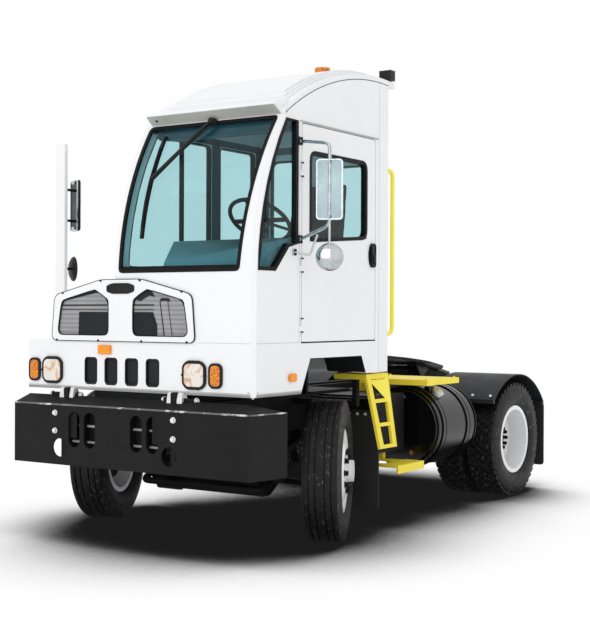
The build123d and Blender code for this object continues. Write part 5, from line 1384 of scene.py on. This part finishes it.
@dataclass
class BumperFittings:
    """Painted highlight along the top edge, bolts and the bars behind the bumper's slots."""

    front: float = -4086.0
    left: float = 1160.0
    right: float = -943.0
    high: float = 991.0
    slot_x: Sequence[float] = (-356.0, -212.0, 212.0, 356.0)
    bar_z: Sequence[float] = (846.0, 733.0)

    def build(self) -> None:
        """Makes the bumper's fittings."""
        work = bmesh.new()
        # Strip of painted highlight along the bumper's top edge and along the bevel at its left end
        edge_strip(work, [at(x, self.front, self.high) for x in (self.right + 4, self.left - 4)],
                   Vector((0, -0.8, 0.6)), 5, 7, 3, 2, False)
        bevelled = [at(self.left + x, self.front + y, self.high) for x, y in ((1, 6), (55, 344))]
        edge_strip(work, bevelled, Vector((0.8, -0.1, 0.6)), 4, 5, 3, 2, False)
        finish_piece("bumper_edge_highlight", work, Finishes.EDGE, "chassis")
        bolts = [(at(s * 538, self.front, z), FORWARD) for s in (-1, 1) for z in (931, 804)]
        BoltField("bumper_bolts", "chassis", "plate_steel", Finishes.ZINC, bolts, 17, 14, 21).build()
        small = [(at(x, self.front, z), FORWARD) for x, z in ((-51, 955), (48, 955), (-44, 734), (-41, 707))]
        BoltField("bumper_plugs", "chassis", "black_plastic", Finishes.PLASTIC, small, 5, 5, 7, 10).build()
        bars, dark = bmesh.new(), bmesh.new()
        for s in (-1, 1):
            for z in self.bar_z:
                block(bars, (s * 150, s * 415), (self.front + 40, self.front + 52), (z - 8, z + 8))
            for x in self.slot_x[:2] if s < 0 else self.slot_x[2:]:
                hood = rounded_outline((x - 60, x + 60), (688, 952), 58)
                path = [at(u, self.front + 15, v) for u, v in hood]
                edge_strip(dark, path, FORWARD, 4, 2, 48, 0)
            front_plate(dark, rounded_outline((min(s * 140, s * 428), max(s * 140, s * 428)), (670, 970), 30),
                        self.front + 62, 5)
            block(dark, (s * 499 - 4, s * 499 + 40), (self.front + 24, self.front + 44), (600, 760))
        finish_piece("slot_bars", bars, Finishes.LIP_SHADE_AND_BAR_GREY, "chassis", bevel_mm=3)
        finish_piece("slot_bar_frames", dark, Finishes.BLACK, "chassis", bevel_mm=2)


# Mirrors


def part_of(node: str, keep: Callable[[Vector], bool]) -> Mesh:
    """Copies the faces of a CAD node whose middles pass a test.

    Args:
        node: The CAD node's name.
        keep: Test of a face's middle, in drawn millimetres.

    Returns:
        The copied faces, merged.
    """
    work = bmesh.new()
    work.from_mesh(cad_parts[node].data)
    drop = [f for f in work.faces if not keep((f.calc_center_median() - ORIGIN) * 1000)]
    bmesh.ops.delete(work, geom=drop, context="FACES")
    bmesh.ops.remove_doubles(work, verts=work.verts, dist=1e-5)
    mesh = bpy.data.meshes.new(node)
    work.to_mesh(mesh)
    work.free()
    return mesh


@dataclass
class MirrorSet:
    """Mirrors on both sides, with their arms and post."""

    left_head: tuple[float, float, Limits] = (1400.0, -3520.0, (2266.0, 2669.0))
    right_head: tuple[float, float, Limits] = (-809.0, -3610.0, (2257.0, 2637.0))
    rounds: Sequence[tuple[float, float, float, float]] = ((1400.0, -3520.0, 2020.0, 25.0),
                                                           (-809.0, -3640.0, 1970.0, -30.0))

    def panel(self, work: Shape, head: tuple[float, float, Limits], turn: float, half: float,
              z: Limits, front: float, back: float) -> None:
        """Upright panel with rounded corners on a turned head, between two depths behind its middle."""
        a = math.radians(turn)
        across, behind = Vector((math.cos(a), math.sin(a), 0)), Vector((-math.sin(a), math.cos(a), 0))
        middle = at(head[0], head[1], 0)
        outline = rounded_outline((-half, half), z, 22)
        slab(work, [middle + across * (u / 1000) + behind * (front / 1000) + Vector((0, 0, v / 1000))
                    for u, v in outline], behind * ((back - front) / 1000))

    def heads(self) -> None:
        """Rounded heads with a flat and a wide glass each, and round mirrors."""
        chrome, black, silver, frames = (bmesh.new() for _ in range(4))
        for work, head, turn in ((chrome, self.left_head, 25), (black, self.right_head, -30)):
            low, high = head[2]
            cut = low + (high - low) * 0.3
            self.panel(work, head, turn, 89, (low, high), -4, 19)
            self.panel(silver, head, turn, 80, (low + 9, cut - 4), 19, 22)
            self.panel(silver, head, turn, 80, (cut + 4, high - 9), 19, 22)
            a = math.radians(turn)
            across, ahead = Vector((math.cos(a), math.sin(a), 0)), Vector((math.sin(a), -math.cos(a), 0))
            outline = rounded_outline((-89, 89), (low, high), 24)
            path = [at(head[0], head[1], v) + across * (u / 1000) + ahead * 0.004 for u, v in outline]
            edge_strip(frames, path, ahead, 9, 0, 2, 6)
            for z in (low + 8, high - 30):
                block(frames, (head[0] - 15, head[0] + 15), (head[1] - 20, head[1] + 10), (z, z + 22))
        finish_piece("mirror_frames", frames, Finishes.CHROME, "cab", ["mirrors"])
        finish_piece("left_mirror_head", chrome, Finishes.MIRROR_BACK, "cab",
                     ["mirrors"], bevel_mm=2)
        chrome = bmesh.new()
        for work, (x, y, z, turn) in zip((chrome, black), self.rounds):
            a = math.radians(turn)
            behind = Vector((-math.sin(a), math.cos(a), 0))
            dish = [(-20, 0), (-19, 22), (-12, 60), (4, 88), (14, 94), (18, 94), (18, 0)]
            lathe(work, dish, at(x, y, z), behind, 48, False)
            lathe(silver, [(18, 88), (22, 70), (25, 36), (26, 0), (18, 0)], at(x, y, z), behind, 48, False)
        finish_piece("left_round_mirror", chrome, Finishes.CHROME, "cab",
                     ["mirrors"], bevel_mm=2)
        finish_piece("right_mirror_heads", black, Finishes.PLASTIC, "cab",
                     ["mirrors"], bevel_mm=2)
        finish_piece("mirror_glasses", silver, Finishes.SILVER_GLASS, "cab",
                     ["mirrors"])

    def arms(self) -> None:
        """Bent tubes and feet on the left, post and arms on the right."""
        work = bmesh.new()
        tube_into(work, [at(1137, -3468, 2812), at(1400, -3520, 2776), at(1400, -3520, 2230), at(1137, -3468, 2146)],
                  12, 45, 16)
        tube_into(work, [at(1137, -3540, 2056), at(1239, -3505, 2036), at(1289, -3493, 2174)], 8, 20, 12)
        tube_into(work, [at(1400, -3520, 2240), at(1400, -3520, 2010)], 8, 4, 12)
        for z in (2812, 2146):
            block(work, (1129, 1143), (-3486, -3450), (z - 30, z + 30))
        block(work, (1129, 1143), (-3556, -3524), (2034, 2078))
        finish_piece("left_mirror_arms", work, Finishes.CHROME, "cab", ["mirrors"])
        work = bmesh.new()
        outline = rounded_outline((-846, -752), (-3780, -3740), 12)
        slab(work, [at(x, y, 1446) for x, y in outline], Vector((0, 0, 1.445)))
        finish_piece("right_mirror_post", work, Finishes.WHITE, "cab", ["mirrors"],
                     bevel_mm=3)
        work = bmesh.new()
        for z in (2330, 2560, 1970):
            tube_into(work, [at(-799, -3742, z), at(-801, -3620, z)], 10, 4, 12)
        finish_piece("right_mirror_arms", work, Finishes.PLASTIC, "cab", ["mirrors"])
        bolts = [(at(1143, y, z), LEFTWARD) for y, z in ((-3468, 2830), (-3468, 2794), (-3468, 2164),
                                                                  (-3468, 2128), (-3540, 2069), (-3540, 2043))]
        BoltField("mirror_bolts", "cab", "black_paint", Finishes.BLACK, bolts, 8, 7, 10).build()

    def build(self) -> None:
        """Makes the mirrors."""
        self.heads()
        self.arms()


# Inside the cab


@dataclass
class CabInterior:
    """Liner, seat, wheel and posts that show through the glass."""

    left: float = 1089.0
    right: float = -20.0
    rear: float = -2287.0
    floor: float = 1435.0
    seat_x: Limits = (332.0, 808.0)
    wheel: tuple[float, float, float] = (680.0, -3300.0, 2300.0)

    def liner(self) -> None:
        """Liner on the walls and under the roof, dark with painted shade and the glass's painted tint."""
        work = bmesh.new()
        wide, tall = (self.right + 1, self.left - 2), (1440, 2960)
        for x, z in (((self.right + 1, 55), tall), ((375, 405), tall), ((1055, self.left - 2), tall),
                     (wide, (2905, 2960)), (wide, (1440, 1990))):
            block(work, x, (self.rear - 6, self.rear - 1), z)
        for y, z in (((-2941, -2845), tall), ((-2365, -2292), tall), ((-3640, -2292), (2925, 2975)),
                     ((-3880, -2292), (1440, 1950))):
            block(work, (self.right + 1, self.right + 6), y, z)
        roof = [(y, z - 44) for y, z in arc_points(*ROOF_ARC, (-3590.0, -2295.0), 12)]
        for (y0, z0), (y1, z1) in zip(roof, roof[1:]):
            slab(work, [at(self.right + 3, y0, z0), at(self.left - 3, y0, z0), at(self.left - 3, y1, z1),
                        at(self.right + 3, y1, z1)], Vector((0, 0, -0.004)))
        finish_piece("cab_liner", work, Finishes.LINER_SHADE_AND_TINT, "cab")
        # Shelf under the header, in the same painted shade and tint
        work = bmesh.new()
        slab(work, [at(self.right + 4, -3600, 2880), at(self.left - 4, -3600, 2880), at(self.left - 4, -3596, 2962),
                    at(self.right + 4, -3596, 2962)], Vector((0, 0.25, 0.02)))
        finish_piece("header_shelf", work, Finishes.LINER_SHADE_AND_TINT, "cab", bevel_mm=12)

    def seat(self) -> None:
        """Padded seat, blown up as cloth from a slightly smaller shape."""
        side = [(-2952, 343), (-2952, 408), (-2700, 425), (-2510, 445), (-2400, 1045), (-2338, 1217), (-2308, 1199),
                (-2318, 965), (-2398, 353)]
        smooth = rounded_polygon([(y, self.floor + z) for y, z in side], 46)
        work = bmesh.new()
        slab(work, [at(self.seat_x[0], y, z) for y, z in smooth],
             Vector(((self.seat_x[1] - self.seat_x[0]) / 1000, 0, 0)))
        mesh = padded_mesh(as_mesh(work, "seat"), 0.010, 0.014)
        piece = finish_piece("padded_seat", mesh, Finishes.CLOTH, "cab", ["driver_seat"], smooth=80)
        work = bmesh.new()
        block(work, (400, 740), (-2880, -2420), (self.floor, self.floor + 60))
        for k in range(6):
            z = self.floor + 60 + k * 46
            inset = 14 if k % 2 else 0
            block(work, (420 + inset, 720 - inset), (-2860 + inset, -2440 - inset), (z, z + 46))
        finish_piece("seat_pedestal", work, Finishes.RUBBER, "cab", ["driver_seat"],
                     bevel_mm=6)

    def steering(self) -> None:
        """Spokes and hub of the steering wheel."""
        work = bmesh.new()
        way = Vector((0, -0.6, -0.8)).normalized()
        middle = at(*self.wheel)
        lathe(work, [(-14, 0), (-14, 40), (-6, 58), (20, 52), (30, 30), (30, 0)], middle, way, 32, False)
        turn = frame_along(way)
        for a in (90, 210, 330):
            arm = turn @ Vector((math.cos(math.radians(a)), math.sin(math.radians(a)), 0))
            tube_into(work, [middle + arm * 0.04, middle + arm * 0.215], 11, 4, 10)
        finish_piece("steering_hub", work, Finishes.PLASTIC, "cab")

        def on_rim(p: Vector) -> bool:
            """Tells whether a point of the dashboard's node is on the wheel's rim."""
            away = p - Vector(self.wheel)
            return away.length < 262 and abs(away.dot(way)) < 60

        def off_rim(p: Vector) -> bool:
            """Tells whether it is on the dashboard itself."""
            return not on_rim(p)

        for name, test, finish, slot in (("steering_rim", on_rim, Finishes.PLASTIC, "black_plastic"),
                                         ("dashboard_trim", off_rim, Finishes.TRIM, "grey_trim")):
            finish_piece(name, part_of("dashboard", test), finish, "cab", ["dashboard"])

    def build(self) -> None:
        """Makes the inside."""
        self.liner()
        self.seat()
        self.steering()


def padded_mesh(mesh: Mesh, voxel: float, cap: float) -> Mesh:
    """Swells a closed shape as a padded cover, by a short cloth run.

    Args:
        mesh: The slightly smaller shape.
        voxel: Size of the even mesh, in metres.
        cap: Farthest that a point may move, in metres.

    Returns:
        The swollen shape, smoothed once.
    """
    holder = bpy.data.objects.new(mesh.name, mesh)
    scene = bpy.context.scene
    scene.collection.objects.link(holder)
    even = holder.modifiers.new("even", "REMESH")
    even.mode = "VOXEL"
    even.voxel_size = voxel
    shaped = bpy.data.meshes.new_from_object(holder.evaluated_get(bpy.context.evaluated_depsgraph_get()))
    holder.modifiers.clear()
    holder.data = shaped
    start = [v.co.copy() for v in shaped.vertices]
    cloth = holder.modifiers.new("cloth", "CLOTH")
    cloth.settings.use_pressure = True
    cloth.settings.uniform_pressure_force = 4.0
    cloth.settings.effector_weights.gravity = 0.0
    for i in range(1, 21):
        scene.frame_set(i)
    blown = bpy.data.meshes.new_from_object(holder.evaluated_get(bpy.context.evaluated_depsgraph_get()))
    holder.modifiers.clear()
    scene.frame_set(1)
    for v, was in zip(blown.vertices, start):
        move = v.co - was
        if move.length > cap:
            v.co = was + move.normalized() * cap
    holder.data = blown
    holder.modifiers.new("round", "SUBSURF").levels = 1
    result = bpy.data.meshes.new_from_object(holder.evaluated_get(bpy.context.evaluated_depsgraph_get()))
    holder.modifiers.clear()
    bpy.data.objects.remove(holder)
    return result


# Equipment along the frame


@dataclass
class LeftEquipment:
    """Tank, step, fender and flap fittings."""

    tank_x: float = 825.0
    tank_z: float = 702.0
    tank_radius: float = 330.0
    straps: Sequence[float] = (-1332.0, -891.0)

    def tank(self) -> None:
        """Strap edges, filler cap and fittings of the fuel tank."""
        rim, cap, drain = bmesh.new(), bmesh.new(), bmesh.new()
        hoops = [(y + edge, 6, 11) for y in self.straps for edge in (-30, 24)]
        for y, low, high in hoops + [(-1440, -10, 5), (-746, -10, 5)]:
            inner, outer = self.tank_radius + low, self.tank_radius + high
            lathe(rim, [(0, inner), (0, outer), (6, outer), (6, inner)], at(self.tank_x, y, self.tank_z), REARWARD, 96)
        lean = Vector((0.575, 0, 0.818))
        foot = at(self.tank_x, -1210, self.tank_z) + lean * (self.tank_radius - 4) / 1000
        lathe(cap, [(0, 0), (0, 40), (22, 40), (22, 52), (40, 52), (46, 47), (48, 0)], foot, lean, 40, False)
        lathe(cap, [(46, 0), (46, 14), (56, 12), (58, 0)], foot, lean, 24, False)
        lathe(drain, [(0, 0), (0, 20), (6, 20), (6, 12), (20, 12), (20, 0)], at(908, -1440, 499),
              FORWARD, 20, False)
        finish_piece("tank_strap_edges", rim, Finishes.TANK, "chassis")
        finish_piece("filler_cap", cap, Finishes.ZINC, "chassis", bevel_mm=2)
        finish_piece("tank_drain", drain, Finishes.BRASS, "chassis")
        work = bmesh.new()
        lathe(work, [(0, 0), (0, 17), (14, 17), (18, 11), (34, 11), (34, 0)], at(831, -1440, 956), FORWARD,
              20, False)
        finish_piece("tank_breather", work, Finishes.BLUE, "chassis")

    def gusset(self) -> None:
        """Corner plate in the ladder's top opening."""
        work = bmesh.new()
        corners = [(1099, -2472, 1146), (1099, -2196, 1146), (1133, -2206, 958)]
        slab(work, [at(*c) for c in corners], Vector((-0.005, 0, 0)))
        finish_piece("ladder_gusset", work, Finishes.YELLOW_TUBE, "chassis",
                     bevel_mm=1)

    def bolts(self) -> None:
        """Bolts of fenders, flaps, splash guards, deck and steps."""
        places = []
        for s in (1, -1):
            places += [(at(s * x, -493, 926), Vector((0, -0.8, 0.6))) for x in (670, 840, 1008, 1177)]
            places += [(at(s * x, 610, 800), REARWARD) for x in (700, 900, 1100)]
            places += [(at(s * x, 620, 786), REARWARD) for x in (660, 800, 940, 1080, 1190)]
            places += [(at(s * x, -2306, 876), FORWARD) for x in (830, 901, 972, 1043)]
        BoltField("fender_bolts", "chassis", "plate_steel", Finishes.ZINC, places, 9, 8, 12).build()
        deck = [(at(x, y, 1111), UPWARD) for x in (510, 1120) for y in (-1600, -1340, -1090)]
        BoltField("deck_bolts", "chassis", "yellow_paint", Finishes.YELLOW_TUBE, deck, 10, 9, 14).build()
        rail = [(at(s * 434, y, z), LEFTWARD * s) for s in (1, -1) for y in range(-1900, 560, 160) for z in (790, 960)]
        BoltField("frame_bolts", "chassis", "dark_metal", Finishes.CHASSIS, rail, 13, 14, 18).build()

    def build(self) -> None:
        """Makes the left side's fittings."""
        self.tank()
        self.gusset()
        self.bolts()


@dataclass
class Underbody:
    """Brake chambers, dampers, axle ironwork and coupling ribs below the frame."""

    pivot: Point = (-150.0, 1100.0)
    drawn_tilt: float = -10.0

    def chambers(self) -> None:
        """Brake chambers on both axles, with their clamp bands."""
        work, band = bmesh.new(), bmesh.new()
        for s in (1, -1):
            for centre, way, length in ((at(s * 420, 190, 640), Vector((0, 1, 0.25)), 230),
                                        (at(s * 560, -WHEELBASE - 150, 520), Vector((0, -1, 0.15)), 130)):
                lathe(work, [(0, 0), (0, 50), (16, 78), (length * 0.45, 82), (length * 0.5, 82), (length - 24, 80),
                             (length - 6, 56), (length, 0)], centre, way, 32, False)
                near, far = length * 0.42, length * 0.58
                lathe(band, [(near, 80), (near, 92), (far, 92), (far, 80)], centre, way, 32)
        finish_piece("brake_chambers", work, Finishes.CHASSIS, "chassis")
        finish_piece("chamber_bands", band, Finishes.ZINC, "chassis")

    def dampers(self) -> None:
        """Front dampers between frame and axle."""
        work, rod = bmesh.new(), bmesh.new()
        for s in (1, -1):
            top, foot = at(s * 500, -WHEELBASE + 130, 860), at(s * 560, -WHEELBASE + 70, 470)
            way = foot - top
            size = way.length * 1000
            lathe(work, [(0, 0), (0, 34), (size * 0.55, 34), (size * 0.55, 0)], top, way, 24, False)
            lathe(rod, [(size * 0.5, 0), (size * 0.5, 27), (size, 27), (size, 0)], top, way, 24, False)
        finish_piece("front_dampers", work, Finishes.CHASSIS, "chassis")
        finish_piece("damper_bodies", rod, Finishes.CHASSIS, "chassis")

    def axle_irons(self) -> None:
        """Dropped beam, stabiliser bar and spring plates of the front axle, and ribs below the coupling's horns."""
        work = bmesh.new()
        y = -WHEELBASE - 150
        tube_into(work, [at(-560, y + 105, 400), at(-560, y, 345), at(560, y, 345), at(560, y + 105, 400)], 26, 60, 16)
        for s in (1, -1):
            block(work, (s * 360, s * 500), (-WHEELBASE - 90, -WHEELBASE + 90), (352, 392))
        web = [(-570, 410), (-570, 372), (-500, 288), (500, 288), (570, 372), (570, 410)]
        flange = [(-570, 372), (-500, 288), (500, 288), (570, 372), (560, 396), (490, 312), (-490, 312), (-560, 396)]
        for outline, half in ((web, 16), (flange, 52)):
            slab(work, [at(x, -WHEELBASE - half, z) for x, z in outline], Vector((0, 0.002 * half, 0)))
        finish_piece("axle_irons", work, Finishes.CHASSIS, "chassis", bevel_mm=3)
        bolts = [(at(s * x, -WHEELBASE + d, 352), Vector((0, 0, -1))) for s in (1, -1) for x in (380, 480)
                 for d in (-65, 65)]
        BoltField("spring_bolts", "chassis", "plate_steel", Finishes.ZINC, bolts, 15, 18, 20).build()
        work = bmesh.new()
        tilt = math.radians(self.drawn_tilt)
        c, d = math.cos(tilt), math.sin(tilt)
        rib = [(60, 62), (600, 62), (600, 24), (230, -20), (60, -20)]
        outline = [(self.pivot[0] + y * c - z * d, self.pivot[1] + y * d + z * c) for y, z in rib]
        for x in (-300, -140, 125, 285):
            side_plate(work, outline, x, 15)
        finish_piece("horn_ribs", work, Finishes.CHASSIS, "fifth_wheel", bevel_mm=2)

    def build(self) -> None:
        """Makes the underbody fittings."""
        self.chambers()
        self.dampers()
        self.axle_irons()


# Dressing the CAD nodes

NODE_FINISHES: dict[Finish, tuple[str, ...]] = {
    Finishes.CHASSIS: ("frame_rails", "front_springs", "air_tanks", "tie_rod", "lift_boom", "cab_floor"),
    Finishes.BLACK: ("bumper", "battery_box", "lift_barrels"),
    Finishes.CAST: ("front_axle", "rear_axle", "engine_block", "knuckle_left", "knuckle_right"),
    Finishes.CORE: ("radiator",),
    Finishes.TANK: ("fuel_tank",),
    Finishes.YELLOW: ("deck", "steps"),
    Finishes.FENDER: ("rear_fenders",),
    Finishes.RUBBER: ("mud_flaps",),
    Finishes.RED: ("rear_lamps",),
    Finishes.WHITE: ("front_rim_left", "front_rim_right", "rear_rims_left", "rear_rims_right", "front_panel",
                     "front_wall", "left_side", "right_wall", "rear_wall", "cab_roof", "engine_hood",
                     "grille_surround", "side_door", "rear_door"),
    Finishes.GREASY: ("fifth_wheel",),
    Finishes.CHROME: ("lift_rods", "mirrors"),
    Finishes.GREY_SHEET: ("grille_mesh",),
    Finishes.GLASS: ("windscreen", "cab_glass", "side_door_glass", "rear_door_glass"),
    Finishes.CLEAR: ("headlamps",),
    Finishes.AMBER: ("amber_lamps",),
    Finishes.PLASTIC: ("work_lamp", "wiper", "door_handle"),
    Finishes.CLOTH: ("driver_seat",),
    Finishes.TRIM: ("dashboard",),
    Finishes.YELLOW_TUBE: ("grab_handle",),
}


def dress_nodes() -> None:
    """Gives each CAD node that stays in view its finish."""
    for finish, names in NODE_FINISHES.items():
        for name in names:
            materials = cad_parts[name].data.materials
            materials.clear()
            materials.append(finish.material())


# Camera, floor and light


@dataclass
class Studio:
    """Camera at the photograph's angle, pale floor and soft light."""

    place: tuple[float, float, float] = (5790.2, -10554.3, 1653.8)
    yaw: float = 33.531
    pitch: float = -0.119
    roll: float = 0.237
    focal_px: float = 1249.92
    long_px: float = 629.0
    reach: float = 2.2
    dark: Limits = (0.5, 0.91)
    fade: Limits = (4.0, 7.0)

    def camera(self) -> None:
        """Sets the camera."""
        yaw, pitch, roll = (math.radians(v) for v in (self.yaw, self.pitch, self.roll))
        ahead = Vector((-math.sin(yaw) * math.cos(pitch), math.cos(yaw) * math.cos(pitch), math.sin(pitch)))
        right = Vector((math.cos(yaw), math.sin(yaw), 0))
        up = right.cross(ahead)
        x = right * math.cos(roll) + up * math.sin(roll)
        y = up * math.cos(roll) - right * math.sin(roll)
        data = bpy.data.cameras.new("photo_camera")
        data.sensor_width = 36.0
        data.lens = self.focal_px * 36.0 / self.long_px
        data.clip_end = 200.0
        camera = bpy.data.objects.new("photo_camera", data)
        bpy.context.scene.collection.objects.link(camera)
        camera.matrix_world = Matrix.Translation(at(*self.place)) @ Matrix((x, y, -ahead)).transposed().to_4x4()
        bpy.context.scene.camera = camera

    def floor_sheet(self) -> None:
        """Lays the pale floor, which glows white, carries the tractor's shadow painted in from an occlusion term, and
        fades to plain white away from it.
        """
        work = bmesh.new()
        bmesh.ops.create_grid(work, x_segments=1, y_segments=1, size=60.0)
        mesh = as_mesh(work, "studio_floor")
        floor = bpy.data.objects.new("studio_floor", mesh)
        bpy.context.scene.collection.objects.link(floor)
        made = bpy.data.materials.new("studio_floor")
        tree = fresh_tree(made)
        place = add_node(tree, "ShaderNodeTexCoord").outputs["Object"]
        soft = {"interpolation_type": "SMOOTHSTEP"}
        away = vector_math(tree, "DISTANCE", place, tuple(at(200, -1900, 0))).outputs["Value"]
        fade = ramp(tree, away, *self.fade, settings=soft)
        # Painted shadow: the floor's glow is darkened where the occlusion term finds the tractor close
        open_sky = add_node(tree, "ShaderNodeAmbientOcclusion", {"samples": 24}, {"Distance": self.reach})
        shade = ramp(tree, open_sky.outputs["AO"], *self.dark, {"To Min": 0.012}, soft)
        near = add_node(tree, "ShaderNodeEmission", inputs={"Color": (1, 1, 1, 1), "Strength": shade})
        white = add_node(tree, "ShaderNodeEmission", inputs={"Color": (1, 1, 1, 1), "Strength": 1.0})
        seen = add_node(tree, "ShaderNodeMixShader", inputs={
            0: fade, 1: near.outputs["Emission"], 2: white.outputs["Emission"]})
        add_node(tree, "ShaderNodeOutputMaterial", inputs={"Surface": seen.outputs["Shader"]})
        mesh.materials.append(made)

    def world(self) -> None:
        """White background to the eye, soft grey light on the object."""
        world = bpy.data.worlds.new("studio_world")
        bpy.context.scene.world = world
        tree = fresh_tree(world)
        path = add_node(tree, "ShaderNodeLightPath")
        seen = larger(tree, path.outputs["Is Camera Ray"], path.outputs["Is Glossy Ray"])
        through = larger(tree, seen, path.outputs["Is Transmission Ray"])
        soft = add_node(tree, "ShaderNodeBackground", inputs={"Color": (1, 1, 1, 1), "Strength": 0.85})
        white = add_node(tree, "ShaderNodeBackground", inputs={"Color": (1, 1, 1, 1), "Strength": 1.0})
        both = add_node(tree, "ShaderNodeMixShader", inputs={
            0: through, 1: soft.outputs["Background"], 2: white.outputs["Background"]})
        add_node(tree, "ShaderNodeOutputWorld", inputs={"Surface": both.outputs["Shader"]})

    def lamps(self) -> None:
        """Hangs the soft lamps."""
        for name, place, size, power in (
                ("key_lamp", (1500, -11000, 4200), 6.0, 110.0),
                ("top_lamp", (0, -1500, 9000), 7.0, 40.0)):
            data = bpy.data.lights.new(name, "AREA")
            data.size = size
            data.energy = power
            lamp = bpy.data.objects.new(name, data)
            bpy.context.scene.collection.objects.link(lamp)
            lamp.location = at(*place)
            aim = at(300, -2200, 1200) - lamp.location
            lamp.rotation_mode = "QUATERNION"
            lamp.rotation_quaternion = aim.to_track_quat("-Z", "Y")

    def build(self) -> None:
        """Sets up the view."""
        bpy.context.scene.view_settings.view_transform = "Standard"
        self.camera()
        self.floor_sheet()
        self.world()
        self.lamps()


def main() -> None:
    """Builds each sub-assembly in order."""
    logging.basicConfig(level=logging.INFO, format="%(name)s: %(message)s")
    Studio().build()
    dress_nodes()
    WheelSet().build()
    CabShell().build()
    FrontEnd().build()
    BumperFittings().build()
    MirrorSet().build()
    CabInterior().build()
    LeftEquipment().build()
    Underbody().build()


if __name__ == "__main__":
    main()
